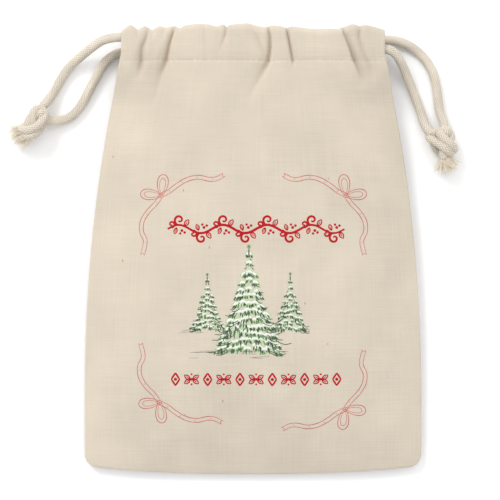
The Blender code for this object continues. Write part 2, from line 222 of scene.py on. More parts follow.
def fold_depth(x, y):
    """How far the folds of the gathered mouth take the cloth down, with the small rise beside each."""
    down = np.zeros_like(x)
    rise = np.zeros_like(x)
    for fold in FOLDS:
        path = spline(np.array(fold)[::-1] * MM, 0.0005)
        centre, depth, left, right = (np.interp(y, path[:, 1], path[:, k]) for k in (0, 2, 3, 4))
        depth = FOLD_HEIGHT * np.maximum(depth, 0.0) * smooth((y - path[0, 1]) / 0.009)
        away = x - centre
        wide = np.where(away < 0, left, right) * FOLD_WIDTH
        reach = np.sqrt((away / wide) ** 2 + 0.06) - 0.245
        down += depth * np.exp(-1.25 * reach)
        rise += 0.16 * depth * np.exp(-(((np.abs(away) - 2.3 * wide) / wide) ** 2))
    held = DEEPEST_FOLD * 1.12
    down = np.where(down < held * 0.6, down, held * 0.6 + held * 0.4 * np.tanh((down / held - 0.6) / 0.4))
    return down - rise * 0.5


def swell(x, y):
    waves = (h * np.sin(2 * np.pi * (a * x + b * y + s)) for a, b, s, h in SWELLS)
    return sum(waves)


def rounding(x, y, half):
    """How much of its edge radius the cloth has risen, from 0 at the outline to 1 inside it."""
    side = np.maximum(half - np.abs(x), 1e-7)
    end = np.maximum(y - bottom_edge(x), 1e-7)
    inside = np.minimum((side**-4.0 + end**-4.0) ** -0.25 / EDGE_RADIUS, 1.0)
    return np.sqrt(np.maximum(1 - (1 - inside) ** 2, 0.0))


def seam_height(y):
    return SEAM_Z + (SEAM_TOP_Z - SEAM_Z) * smooth((y - BOTTOM_Y) / (STITCH_Y - BOTTOM_Y))


def front_surface(x, y, half=None):
    """The height of the outside of the front cloth, up to the crest of its casing."""
    half = half_width(y) if half is None else half
    across = np.clip(np.abs(x) / half, 0.0, 1.0)
    rise = y - BOTTOM_Y
    belly = SEAM_Z + (BELLY_Z - SEAM_Z) * np.sin(np.pi / 2 * np.clip(rise / BELLY_RISE, 0, 1)) ** 0.8
    middle = belly + (STITCH_Z - BELLY_Z) * smooth((y - BELLY_END_Y) / (STITCH_Y - BELLY_END_Y))
    onto = smooth((y - STITCH_Y) / 0.0065)
    middle = middle + (CASING_TOP_Z - STITCH_Z) * onto
    seam = seam_height(y)
    slit = smooth((y - SLIT_EASE_Y) / (STITCH_Y - SLIT_EASE_Y))
    edge = seam + (CASING_END_Z - 0.0009 * (1 - onto) - seam) * slit
    side = across**3
    fade = 1 - across**12
    groove = 0.00042 * np.exp(-(((y - STITCH_Y) / 0.0009) ** 2))
    pucker = groove * 0.30 * np.sin(2 * np.pi * x / 0.0052 + 3 * np.sin(x * 170))
    soft = swell(x, y) * np.clip(rise / 0.02, 0, 1) - fold_depth(x, y)
    return (
        side * edge
        + (1 - side) * middle
        + (rounding(x, y, half) - 1) * EDGE_RADIUS
        + EDGE_RADIUS * (1 - slit) * side
        + fade * (soft - groove - pucker)
    )


def back_surface(x, y, half=None):
    """The height of the outside of the back cloth, which lies on the surface below."""
    half = half_width(y) if half is None else half
    across = np.clip(np.abs(x) / half, 0.0, 1.0)
    rise = y - BOTTOM_Y
    seam = seam_height(y)
    slit = smooth((y - SLIT_Y) / (STITCH_Y - SLIT_Y))
    edge = (seam - 0.0003) * (1 - slit) + BACK_EDGE_Z * slit
    side = np.clip((across - 0.5) / 0.5, 0.0, 1.0) ** 2
    curl = np.clip(1 - rise / 0.026, 0.0, 1.0) ** 2
    lift = FLOOR_CLEAR + (SEAM_Z - 0.0012) * curl
    gathers = 0.00022 * smooth((y - 0.080) / 0.030) * (1 + np.sin(x * 520 + 2.0 * np.sin(x * 140)))
    swelling = 0.00012 * (1 + np.sin(x * 90 + y * 60)) * (1 - curl)
    return side * edge + (1 - side) * (lift + gathers * (1 - side) + swelling)


def spline(points, spacing):
    """An evenly spaced smooth line through points in space."""
    points = np.asarray(points, float)
    ends = np.vstack([2 * points[0] - points[1], points, 2 * points[-1] - points[-2]])
    t = np.linspace(0, 1, 24, endpoint=False)[:, None]
    parts = []
    for before, start, end, after in zip(ends, ends[1:], ends[2:], ends[3:]):
        parts.append(
            0.5
            * (
                2 * start
                + (end - before) * t
                + (2 * before - 5 * start + 4 * end - after) * t**2
                + (3 * start - before - 3 * end + after) * t**3
            )
        )
    return even(np.vstack([*parts, points[-1:]]), spacing)


def even(line, spacing):
    """The same line, with its points a set distance apart."""
    gone = np.concatenate([[0], np.cumsum(np.linalg.norm(np.diff(line, axis=0), axis=1))])
    count = max(2, round(gone[-1] / spacing))
    at = np.linspace(0, gone[-1], count + 1)
    return np.column_stack([np.interp(at, gone, line[:, k]) for k in range(line.shape[1])])


def relaxed(line, rounds):
    """The line with its small corners eased, its ends left in place."""
    line = line.copy()
    for _ in range(rounds):
        line[1:-1] += 0.5 * ((line[:-2] + line[2:]) / 2 - line[1:-1])
    return line


def length_of(line):
    return float(np.linalg.norm(np.diff(line, axis=0), axis=1).sum())


# ---- node trees ----


class Value:
    """One number in a node tree. An expression written with it adds its Math nodes."""

    def __init__(self, tree, socket):
        self.tree = tree
        self.socket = socket

    def math(self, operation, *others):
        inputs = dict(enumerate((self, *others)))
        return self.tree.value("ShaderNodeMath", {"operation": operation}, inputs)

    def __add__(self, other):
        return self.math("ADD", other)

    __radd__ = __add__

    def __sub__(self, other):
        return self.math("SUBTRACT", other)

    def __rsub__(self, other):
        return self.tree.value(
            "ShaderNodeMath", {"operation": "SUBTRACT"}, {0: other, 1: self}
        )

    def __mul__(self, other):
        return self.math("MULTIPLY", other)

    __rmul__ = __mul__

    def __truediv__(self, other):
        return self.math("DIVIDE", other)

    def __pow__(self, other):
        return self.math("POWER", other)

    def __gt__(self, other):
        return self.math("GREATER_THAN", other)

    def __abs__(self):
        return self.math("ABSOLUTE")

    def sin(self):
        return self.math("SINE")

    def floor(self):
        return self.math("FLOOR")

    def ramp(self, low, high):
        """0 below low, 1 above high, and smooth between them."""
        inputs = {"Value": self, "From Min": low, "From Max": high}
        settings = {"interpolation_type": "SMOOTHSTEP"}
        return self.tree.value("ShaderNodeMapRange", settings, inputs)


class Tree:
    """A node tree being built. add() takes a node's type, its settings and the inputs of its sockets."""

    def __init__(self, nodes):
        self.nodes = nodes

    def add(self, kind, settings=None, inputs=None):
        node = self.nodes.nodes.new(kind)
        for key, setting in (settings or {}).items():
            setattr(node, key, setting)
        for key, given in (inputs or {}).items():
            socket = node.inputs[key]
            if isinstance(given, Value):
                self.nodes.links.new(given.socket, socket)
            elif isinstance(given, bpy.types.NodeSocket):
                self.nodes.links.new(given, socket)
            else:
                socket.default_value = given
        return node

    def value(self, kind, settings=None, inputs=None, output=0):
        return Value(self, self.add(kind, settings, inputs).outputs[output])

    def vector(self, x, y, z=0.0):
        return self.add("ShaderNodeCombineXYZ", None, {0: x, 1: y, 2: z}).outputs[0]

    def noise(self, vector, scale, detail=2.0, roughness=0.5):
        inputs = {"Vector": vector, "Scale": scale, "Detail": detail, "Roughness": roughness}
        return self.value("ShaderNodeTexNoise", None, inputs)

    def mix(self, factor, one, other):
        """One colour turning into the other as the factor goes from 0 to 1."""
        node = self.add("ShaderNodeMix", {"data_type": "RGBA"}, {"Factor": factor, 6: one, 7: other})
        return node.outputs[2]


def linear(colour):
    """A colour as it is seen, 0 to 255, as the shader takes it."""
    part = [c / 255 for c in colour]
    return (*(c / 12.92 if c <= 0.04045 else ((c + 0.055) / 1.055) ** 2.4 for c in part), 1.0)


def new_material(name, roughness, sheen, sheen_roughness=0.45):
    made = bpy.data.materials.new(name)
    made.use_nodes = True
    shader = made.node_tree.nodes["Principled BSDF"]
    shader.inputs["Roughness"].default_value = roughness
    shader.inputs["Specular IOR Level"].default_value = 0.25
    shader.inputs["Sheen Weight"].default_value = sheen
    shader.inputs["Sheen Roughness"].default_value = sheen_roughness
    return made, Tree(made.node_tree), shader


def plain_weave(tree, name, pitch):
    """The height of a plain weave, 0 to 1, and the tone of its threads, on a piece's own UV map in metres."""
    place = tree.add("ShaderNodeUVMap", {"uv_map": name})
    split = tree.add("ShaderNodeSeparateXYZ", None, {0: place.outputs[0]})
    u, v = Value(tree, split.outputs[0]), Value(tree, split.outputs[1])
    waver_u = tree.noise(tree.vector(u * 300, v * 90), 1.0) - 0.5
    waver_v = tree.noise(tree.vector(u * 90, v * 300 + 7.0), 1.0) - 0.5
    a = (u + waver_u * (pitch * 0.9)) / pitch
    b = (v + waver_v * (pitch * 0.9)) / pitch
    warp, weft = abs((a * math.pi).sin()), abs((b * math.pi).sin())
    turn = ((a.floor() + b.floor()) * 0.5).math("FRACT") > 0.25
    over = (warp**0.9) * (weft**0.35)
    under = (warp**0.35) * (weft**0.9)
    height = over * turn + under * (1 - turn)
    warp_tone = tree.noise(tree.vector(a.floor() * 0.71, v * 26), 1.0, 3.0)
    weft_tone = tree.noise(tree.vector(u * 26, b.floor() * 0.71 + 31), 1.0, 3.0)
    tone = warp_tone * turn + weft_tone * (1 - turn)
    return u, v, height, tone


def cotton_cloth(name, colour, pitch, slub=1.0):
    """Unbleached plain-woven cotton: uneven threads, soft blotches and a few dark specks of husk, with painted
    shade between its threads and in the creases of its folds.
    """
    made, tree, shader = new_material(name, 0.92, 0.18)
    u, v, height, tone = plain_weave(tree, "cloth", pitch)
    streak_u = tree.noise(tree.vector(u * 1500, v * 30), 1.0, 2.0)
    streak_v = tree.noise(tree.vector(u * 30, v * 1500 + 3.0), 1.0, 2.0)
    broad = tree.noise(tree.vector(u * 26, v * 26), 1.0, 3.0)
    light, dark = linear(tuple(c * 1.045 for c in colour)), linear(tuple(c * 0.93 for c in colour))
    level = 0.5 + (broad - 0.5) * 0.7 + (tone - 0.5) * 0.30 * slub
    level = level + (streak_u - 0.5) * 0.30 * slub + (streak_v - 0.5) * 0.38 * slub
    cloth = tree.mix(level.ramp(0.05, 0.95), dark, light)
    # painted shade: the colour is darkened between the threads, where the weave lies low
    gap = linear(tuple(c * 0.80 for c in colour))
    woven = tree.mix((1 - height.ramp(0.0, 0.55)) * 0.45, cloth, gap)
    cells = tree.add("ShaderNodeTexVoronoi", None, {"Vector": tree.vector(u, v * 0.6), "Scale": 210.0})
    chosen = tree.value("ShaderNodeSeparateXYZ", None, {0: cells.outputs["Color"]}) > 0.955
    speck = (1 - Value(tree, cells.outputs["Distance"]).ramp(0.05, 0.14)) * chosen * 0.55
    woven = tree.mix(speck, woven, linear((128, 100, 70)))
    # painted shade: the cloth's colour is darkened where it lies deep in a fold
    crease_shade = tree.value("ShaderNodeAttribute", {"attribute_name": "crease_shade"}, None, 2)
    woven = tree.mix(crease_shade * 0.55, woven, linear(tuple(c * k for c, k in zip(colour, (0.70, 0.66, 0.60)))))
    tree.nodes.links.new(woven, shader.inputs["Base Color"])
    relief = height + (tone - 0.5) * 0.5 + (streak_u + streak_v) * 0.25
    bump = tree.add("ShaderNodeBump", None, {"Strength": 0.75, "Distance": pitch * 0.28, "Height": relief})
    tree.nodes.links.new(bump.outputs[0], shader.inputs["Normal"])
    return made


def ink(name, colour, cloth_colour, pitch, cover=0.85):
    """Printed ink that the threads of the cloth show through."""
    made, tree, shader = new_material(name, 0.72, 0.05)
    u, v, height, tone = plain_weave(tree, "cloth", pitch)
    patchy = tree.noise(tree.vector(u * 420, v * 420), 1.0, 3.0)
    thin = ((1 - height) * 0.75 + (patchy - 0.35) * 0.9).ramp(0.35, 1.25) * (1.45 - cover)
    shade = tree.mix((tone - 0.2).ramp(0.0, 0.7), linear(tuple(c * 0.86 for c in colour)), linear(colour))
    tree.nodes.links.new(tree.mix(thin, shade, linear(cloth_colour)), shader.inputs["Base Color"])
    bump = tree.add("ShaderNodeBump", None, {"Strength": 0.6, "Distance": pitch * 0.25, "Height": height})
    tree.nodes.links.new(bump.outputs[0], shader.inputs["Normal"])
    return made


def cotton_yarn(name, colour, twist, ply, shade=0.74):
    """Soft spun cotton: fine slanting fibres along a strand, with painted light on its crowns and painted
    shade in the furrows between them.
    """
    made, tree, shader = new_material(name, 0.95, 0.30, 0.5)
    place = tree.add("ShaderNodeUVMap", {"uv_map": "strand"})
    split = tree.add("ShaderNodeSeparateXYZ", None, {0: place.outputs[0]})
    around, along = Value(tree, split.outputs[0]), Value(tree, split.outputs[1])
    slant = around * ply + along * twist
    back = around * ply - along * twist
    fibres = tree.noise(tree.vector(slant * 4.0, along * 900), 1.0, 3.0, 0.65)
    cross = tree.noise(tree.vector(back * 4.0, along * 900 + 11), 1.0, 3.0, 0.65)
    furrow = abs((slant * math.pi).sin()) * abs((back * math.pi).sin())
    broad = tree.noise(tree.vector(around * 2, along * 60), 1.0, 2.0)
    # the furrow term paints light on the crowns and shade in the furrows; the fibre and broad noises are
    # random tone
    level = (fibres + cross) * 0.5 + (furrow - 0.4) * 0.34 + (broad - 0.5) * 0.35
    light, dark = linear(tuple(min(c * 1.07, 255) for c in colour)), linear(tuple(c * shade for c in colour))
    tree.nodes.links.new(tree.mix(level.ramp(0.2, 0.85), dark, light), shader.inputs["Base Color"])
    relief = fibres * 0.6 + cross * 0.6 + furrow * 0.8
    bump = tree.add("ShaderNodeBump", None, {"Strength": 0.9, "Distance": 0.00016, "Height": relief})
    tree.nodes.links.new(bump.outputs[0], shader.inputs["Normal"])
    return made


def plain_paper(name, colour):
    """The seamless paper that the pouch lies on."""
    made, tree, shader = new_material(name, 0.95, 0.0)
    place = tree.add("ShaderNodeTexCoord")
    grain = tree.noise(place.outputs["Object"], 60.0, 3.0)
    tone = tree.mix(grain, (colour * 0.995,) * 3 + (1.0,), (colour,) * 3 + (1.0,))
    tree.nodes.links.new(tone, shader.inputs["Base Color"])
    shader.inputs["Specular IOR Level"].default_value = 0.0
    return made


# ---- meshes ----


def add_piece(name, verts, faces, finish, uv=None, uv_name="cloth", normals=None, smooth_faces=True):
    """A mesh object at the origin, with its place in its vertices."""
    data = bpy.data.meshes.new(name)
    data.from_pydata(np.asarray(verts).tolist(), [], [list(f) for f in faces])
    data.materials.append(finish)
    data.polygons.foreach_set("use_smooth", [smooth_faces] * len(data.polygons))
    if uv is not None:
        corners = np.zeros(len(data.loops), np.int32)
        data.loops.foreach_get("vertex_index", corners)
        flat = uv[corners] if len(uv) == len(verts) else uv
        layer = data.uv_layers.new(name=uv_name)
        layer.data.foreach_set("uv", np.asarray(flat, np.float32).ravel())
    if normals is not None:
        data.normals_split_custom_set(np.asarray(normals).tolist())
    made = bpy.data.objects.new(name, data)
    bpy.context.scene.collection.objects.link(made)
    return made


def grid_faces(rows, cols, wrap=False):
    """Four-cornered faces between the rows of a grid of points."""
    r, c = np.meshgrid(np.arange(rows - 1), np.arange(cols if wrap else cols - 1), indexing="ij")
    nxt = (c + 1) % cols
    low, high = r * cols, (r + 1) * cols
    return np.stack([low + c, low + nxt, high + nxt, high + c], -1).reshape(-1, 4)


def vertex_normals(verts, faces):
    a, b, c, d = (verts[faces[:, k]] for k in range(4))
    flat = np.cross(c - a, d - b)
    total = np.zeros_like(verts)
    for k in range(4):
        np.add.at(total, faces[:, k], flat)
    return total / np.maximum(np.linalg.norm(total, axis=1), 1e-15)[:, None]


def closed_sheet(name, verts, faces, uv, finish, thickness, normals=None):
    """A sheet with its thickness on the inside, closed all round its rim."""
    normals = vertex_normals(verts, faces) if normals is None else normals
    used, quads = np.unique(faces, return_inverse=True)
    quads = quads.reshape(-1, 4)
    count = len(used)
    edges = np.concatenate([quads[:, [k, (k + 1) % 4]] for k in range(4)])
    ahead = edges[:, 0].astype(np.int64) * count + edges[:, 1]
    back = edges[:, 1].astype(np.int64) * count + edges[:, 0]
    rim = edges[~np.isin(ahead, back)]
    hem = np.column_stack([rim[:, 1], rim[:, 0], rim[:, 0] + count, rim[:, 1] + count])
    around = normals[used]
    points = np.concatenate([verts[used], verts[used] - around * thickness])
    a, b, c = (points[hem[:, k]] for k in range(3))
    hem_way = np.cross(b - a, c - a)
    hem_way /= np.maximum(np.linalg.norm(hem_way, axis=1), 1e-15)[:, None]
    outside, inside = around[quads].reshape(-1, 3), -around[quads[:, ::-1]].reshape(-1, 3)
    corners = [outside, inside, np.repeat(hem_way, 4, axis=0)]
    every = np.concatenate([quads, quads[:, ::-1] + count, hem])
    flat = np.concatenate([uv[used], uv[used]])
    return add_piece(name, points, every, finish, flat, normals=np.concatenate(corners))


def cloth_pieces(names, verts, faces, uv, finish, thickness):
    """The sheet cut down its middle into a left and a right piece."""
    normals = vertex_normals(verts, faces)
    middle = verts[faces, 0].mean(1)
    return [
        closed_sheet(name, verts, faces[kept], uv, finish, thickness, normals)
        for name, kept in zip(names, (middle < 0, middle > 0))
    ]


def spread(low, high, step, fine, reach):
    """Places from low to high, closer together within reach of each end."""
    at = [low]
    while at[-1] < high - 1e-9:
        near = min(at[-1] - low, high - at[-1])
        at.append(at[-1] + fine + (step - fine) * min(1.0, max(0.0, near / reach)))
    at = np.array(at)
    return low + (at - low) * (high - low) / (at[-1] - low)


def across_places():
    """Places across the cloth, -1 to 1, with one exactly in the middle."""
    half = np.concatenate([[0.0], spread(0.0066, 1.0, 0.0066, 0.0020, 0.06)])
    return np.concatenate([-half[:0:-1], half])


def sheet_points(front):
    """The cloth of one side, from the bottom edge up, over the top of its casing and down inside it."""
    u = across_places()
    rows = []
    flat = []
    up = spread(0.0, 1.0, 0.0050, 0.0010, 0.03)
    for share in up:
        y0 = BOTTOM_Y + share * (STITCH_Y - BOTTOM_Y)
        half = half_width(y0)
        low = y0 - BOTTOM_Y
        corner = 0.0
        if low < CORNER_RADIUS:
            corner = CORNER_RADIUS - math.sqrt(CORNER_RADIUS**2 - (CORNER_RADIUS - low) ** 2)
        x = u * (half - corner)
        y = bottom_edge(x) + share * (STITCH_Y - bottom_edge(x))
        rows.append((x, y, half - corner, None))
        flat.append((u * FLAT_HALF, y))
    x = u * MOUTH_HALF
    top = rim_y(x, 0.0 if front else 0.0009)
    crest = top - ROLL_DEPTH
    for share in np.linspace(0, 1, 19)[1:]:
        y = STITCH_Y + share * (crest - STITCH_Y)
        rows.append((x * half_width(y) / MOUTH_HALF, y, half_width(y), None))
        flat.append((u * FLAT_HALF, y))
    outer_rows = len(rows)
    for angle in np.linspace(0, np.pi, 15)[1:]:
        rows.append((x, crest + ROLL_DEPTH * np.sin(angle), None, angle))
        flat.append((u * FLAT_HALF, crest + 0.0042 * angle))
    for share in np.linspace(0, 1, 13)[1:]:
        rows.append((x, crest + share * (INNER_END_Y - crest), None, np.pi))
        flat.append((u * FLAT_HALF, crest + 0.0042 * np.pi + share * 0.016))
    surface = front_surface if front else back_surface
    points = []
    for x, y, half, angle in rows:
        if angle is None:
            z = surface(x, y, np.maximum(half, 1e-6))
            outer = z
        else:
            inner = CASING_FLOOR_Z if front else BACK_INNER_Z
            z = inner + (outer - inner) * (1 + np.cos(angle)) / 2
        points.append(np.column_stack([x, y, z]))
    uv = np.concatenate([np.column_stack(pair) for pair in flat])
    return np.concatenate(points), uv, len(rows), len(u), outer_rows


def cloth_side(front, finish, thickness):
    points, uv, rows, cols, outer_rows = sheet_points(front)
    faces = grid_faces(rows, cols)
    row = np.arange(len(faces)) // (cols - 1)
    middle = np.abs(points[faces, 0].mean(1))
    inside = row >= outer_rows - 1 + 10
    faces = faces[~(inside & (middle > OPEN_HALF))]
    if not front:
        faces = faces[:, ::-1]
    word = "front" if front else "back"
    pieces = cloth_pieces((f"{word}_cloth_left", f"{word}_cloth_right"), points, faces, uv, finish, thickness)
    if front:
        # the depth of the folds, for painted shade in the creases of the front cloth
        for piece in pieces:
            mark_crease_shade(piece)
    return pieces


def mark_crease_shade(piece):
    """Notes how deep in a fold each point of the cloth is, for the painted shade that darkens the cloth's
    colour in a crease.
    """
    places = np.zeros(len(piece.data.vertices) * 3, np.float32)
    piece.data.vertices.foreach_get("co", places)
    x, y, z = places.reshape(-1, 3).T.astype(float)
    deep = np.clip((fold_depth(x, y) - 0.0006) / 0.0030, 0, 1) ** 1.3 * (z > 0.017)
    attribute = piece.data.attributes.new("crease_shade", "FLOAT", "POINT")
    attribute.data.foreach_set("value", deep.astype(np.float32))


def tube_shape(line, radius, sides, relief=None):
    """A closed tube along a line, as points, faces and a map round and along it.

    radius is one number, or one for each point of the line. relief gives the height of its surface.
    """
    ahead = np.gradient(line, axis=0)
    ahead /= np.linalg.norm(ahead, axis=1)[:, None]
    side = np.zeros_like(line)
    start = np.cross(ahead[0], (0, 0, 1.0))
    if np.linalg.norm(start) < 1e-3:
        start = np.array((1.0, 0, 0))
    side[0] = start / np.linalg.norm(start)
    for i in range(1, len(line)):
        turned = side[i - 1] - ahead[i] * np.dot(side[i - 1], ahead[i])
        side[i] = turned / np.linalg.norm(turned)
    other = np.cross(ahead, side)
    along = np.concatenate([[0], np.cumsum(np.linalg.norm(np.diff(line, axis=0), axis=1))])
    turn = np.linspace(0, 2 * np.pi, sides, endpoint=False)
    wide = np.broadcast_to(np.asarray(radius, float), (len(line),))[:, None] * np.ones(sides)
    if relief is not None:
        wide = wide + relief(turn[None, :] / (2 * np.pi), along[:, None])
    rings = (
        line[:, None, :]
        + side[:, None, :] * (wide * np.cos(turn))[:, :, None]
        + other[:, None, :] * (wide * np.sin(turn))[:, :, None]
    )
    verts = np.concatenate([rings.reshape(-1, 3), line[:1], line[-1:]])
    body = grid_faces(len(line), sides, wrap=True)
    last = (len(line) - 1) * sides
    first_tip, last_tip = len(verts) - 2, len(verts) - 1
    nxt = (np.arange(sides) + 1) % sides
    caps = [(first_tip, int(n), int(i)) for i, n in enumerate(nxt)]
    caps += [(last_tip, last + int(i), last + int(n)) for i, n in enumerate(nxt)]
    column = np.arange(sides)
    round_it = np.stack([column, column + 1, column + 1, column], 1) / sides
    uv = []
    for ring in range(len(line) - 1):
        v = np.array([along[ring], along[ring], along[ring + 1], along[ring + 1]])
        uv.append(np.stack([round_it, np.broadcast_to(v, (sides, 4))], -1).reshape(-1, 2))
    for tip in (along[0], along[-1]):
        ring_uv = round_it[:, [0, 1, 0]]
        uv.append(np.stack([ring_uv, np.full((sides, 3), tip)], -1).reshape(-1, 2))
    return verts, [tuple(f) for f in body.tolist()] + caps, np.concatenate(uv)


def joined(shapes):
    """Several shapes as one."""
    verts, faces, uv, start = [], [], [], 0
    for points, corners, flat in shapes:
        verts.append(points)
        faces += [tuple(k + start for k in face) for face in corners]
        uv.append(flat)
        start += len(points)
    return np.concatenate(verts), faces, np.concatenate(uv)


def braid(strands, lay, height):
    """The relief of a round braid: strands that run both ways round it, each over one and under the next."""

    def relief(around, along):
        a = strands * (around + along / lay)
        b = strands * (around - along / lay)
        one, two = np.abs(np.sin(np.pi * a)), np.abs(np.sin(np.pi * b))
        turn = (np.floor(a) + np.floor(b)) % 2 > 0.5
        over = one**0.9 * two**0.3
        under = one**0.3 * two**0.9
        return height * (np.where(turn, over, under) - 0.75)

    return relief


# ---- cords and knots ----


def knot_entry(middle, half, way, clear):
    """The point a set distance off a knot, straight out from where its surface faces a given way."""
    middle, half = np.array(middle), np.array(half)
    out = np.array(way) / np.linalg.norm(way)
    return middle + half**2 * out / np.linalg.norm(half * out) + out * clear


def free_strand(start, route, middle, half, way):
    before = knot_entry(middle, half, way, 0.0003 + CORD)
    line = spline([start, *route, before], 0.0005)
    return np.vstack([line, knot_entry(middle, half, way, 0.0003)[None]])


def drawstring(side, middle, half, front, back):
    """One whole cord: knot, strand, front casing, turn, back casing, strand, knot."""
    front_y, front_route, front_way = front
    back_y, back_route, back_way = back
    start = np.array((side * CASING_HALF, front_y, FRONT_LANE_Z))
    finish = np.array((side * CASING_HALF, back_y, BACK_LANE_Z))
    out = free_strand(start, front_route, middle, half, front_way)
    home = free_strand(finish, back_route, middle, half, back_way)
    over = np.array((-side * TURN_X, front_y, FRONT_LANE_Z))
    under = np.array((-side * TURN_X, back_y, BACK_LANE_Z))
    angle = np.linspace(0, np.pi, 40)[1:-1, None]
    centre, arm = (over + under) / 2, (over - under) / 2
    bend = centre + arm * np.cos(angle) + np.array((-side * TURN_RADIUS, 0, 0)) * np.sin(angle)
    line = np.vstack([out[::-1], over[None], bend, under[None], home])
    line = relaxed(even(line, 0.0005), 60)
    return even(line, 0.0005)


def loose_overhand(spacing):
    """A wide open overhand knot in one line, its two ends leading away."""
    t = np.linspace(-2.12, 2.12, 4000)
    line = np.column_stack([t**3 - 3 * t, t**4 - 4 * t**2, -0.26 * (t**5 - 10 * t)]) * 0.0062
    return even(line, spacing)


def pull_tight(thick, spacing=0.0013, rounds=800, pull=0.0018):
    """Two strands side by side, tied in one overhand knot and pulled tight, as a line for each strand.

    A small simulation of round strands that keep their length and don't pass through each other.
    """
    middle = loose_overhand(spacing)
    ahead = np.gradient(middle, axis=0)
    ahead /= np.linalg.norm(ahead, axis=1)[:, None]
    side = np.zeros_like(middle)
    side[0] = np.cross(ahead[0], (0, 0, 1.0))
    side[0] /= np.linalg.norm(side[0])
    for i in range(1, len(middle)):
        turned = side[i - 1] - ahead[i] * np.dot(side[i - 1], ahead[i])
        side[i] = turned / np.linalg.norm(turned)
    count = len(middle)
    beads = np.concatenate([middle + side * thick * 0.52, middle - side * thick * 0.52])
    strand, place = np.divmod(np.arange(2 * count), count)
    one, two = np.triu_indices(2 * count, 1)
    apart = (strand[one] != strand[two]) | (np.abs(place[one] - place[two]) > int(1.5 * thick / spacing) + 1)
    one, two = one[apart], two[apart]
    inner = np.concatenate([np.arange(1, count - 1), count + np.arange(1, count - 1)])
    links = [np.concatenate([np.arange(k, count - 1, 2), count + np.arange(k, count - 1, 2)]) for k in (0, 1)]
    ends = np.array([0, count, count - 1, 2 * count - 1])
    way = np.array([-pull, -pull, pull, pull])
    for turn in range(rounds):
        if turn % 12 == 0:
            gap = beads[two] - beads[one]
            near = np.einsum("ij,ij->i", gap, gap) < (2 * thick) ** 2
            a_near, b_near = one[near], two[near]
        beads[ends, 0] += way
        beads[ends, 1:] *= 0.99
        for _ in range(12):
            for link in links:
                gap = beads[link + 1] - beads[link]
                long = np.linalg.norm(gap, axis=1)[:, None]
                shift = gap * (0.5 * (long - spacing) / long)
                beads[link] += shift
                beads[link + 1] -= shift
            beads[inner] += 0.10 * ((beads[inner - 1] + beads[inner + 1]) / 2 - beads[inner])
            gap = beads[b_near] - beads[a_near]
            long = np.linalg.norm(gap, axis=1)
            hit = long < thick
            push = gap[hit] / long[hit][:, None] * (0.5 * (thick - long[hit][:, None]))
            moved, hits = np.zeros_like(beads), np.zeros(len(beads))
            np.add.at(moved, a_near[hit], -push)
            np.add.at(moved, b_near[hit], push)
            np.add.at(hits, a_near[hit], 1)
            np.add.at(hits, b_near[hit], 1)
            beads += moved / np.maximum(hits, 1)[:, None] * 1.5
        long = np.linalg.norm(np.diff(beads[:count], axis=0), axis=1) / spacing
        if turn > 100 and long[3:-3].mean() > 1.035:
            break
    return beads[:count], beads[count:]


def placed_knot(strands, size, middle, tail_way, roll, mirror, low):
    """The tight knot turned so that its tails leave in tail_way, and set down on the surface."""
    every = np.concatenate(strands)
    body = every[np.abs(every[:, 0] - np.median(every[:, 0])) < 0.012]
    centre = (body.min(0) + body.max(0)) / 2
    along = np.array((tail_way[0], tail_way[1], 0.0))
    along /= np.linalg.norm(along)
    across = np.array((-along[1], along[0], 0.0)) * mirror
    up = np.array((0.0, 0.0, 1.0))
    wide = across * math.cos(roll) + up * math.sin(roll)
    high = up * math.cos(roll) - across * math.sin(roll)
    frame_axes = np.stack([along, wide, high])
    stretch = np.array(size)
    flat_wise = np.stack([along, across, up])
    turned = [(((p - centre) @ frame_axes) @ flat_wise.T * stretch) @ flat_wise + middle for p in strands]
    near = np.concatenate(turned)
    near = near[np.linalg.norm(near[:, :2] - np.array(middle)[:2], axis=1) < 0.011]
    lift = low - near[:, 2].min()
    return [p + np.array((0, 0, lift)) for p in turned], along


def knot_lines(strands, middle, along, tail_way, cord_ends):
    """The line of each strand of a knot: out of its cord, through the knot, and a short way out as a tail."""
    lines, widths = [], []
    inward = [np.dot(p[len(p) // 2 - 40] - middle, (-along[1], along[0], 0)) for p in strands]
    order = np.argsort(inward)
    sides = [np.dot(end[0] - middle, (-along[1], along[0], 0)) for end in cord_ends]
    for strand_at, cord_at in zip(order, np.argsort(sides)):
        strand = strands[strand_at]
        share = (strand - middle) @ along
        first = np.argmax(share > -KNOT_REACH)
        last = len(share) - np.argmax(share[::-1] < TAIL_REACH)
        point, way = cord_ends[cord_at]
        lead = np.array([point - way * 0.0035, point - way * 0.0012])
        while (strand[first] - point) @ way < 0.0022 and first < len(share) // 2 - 34:
            first += 1
        body = strand[first:last].copy()
        tip = body[-1] + np.array((tail_way[0], tail_way[1], -0.25)) * 0.0032
        body = np.vstack([body, tip])
        body[:, 2] = np.maximum(body[:, 2], STRAND / 2)
        line = relaxed(even(np.vstack([lead, body]), 0.0006), 18)
        gone = np.concatenate([[0], np.cumsum(np.linalg.norm(np.diff(line, axis=0), axis=1))])
        lines.append(line)
        widths.append(smooth(1 - gone / 0.007))
    return lines, widths


# ---- what repeats: Geometry Nodes ----


def node_group(name, sockets):
    """An empty geometry tree with its named inputs."""
    group = bpy.data.node_groups.new(name, "GeometryNodeTree")
    group.interface.new_socket("Geometry", in_out="OUTPUT", socket_type="NodeSocketGeometry")
    group.interface.new_socket("Geometry", in_out="INPUT", socket_type="NodeSocketGeometry")
    for label, kind, default in sockets:
        socket = group.interface.new_socket(label, in_out="INPUT", socket_type=kind)
        if default is not None:
            socket.default_value = default
    return group, Tree(group)


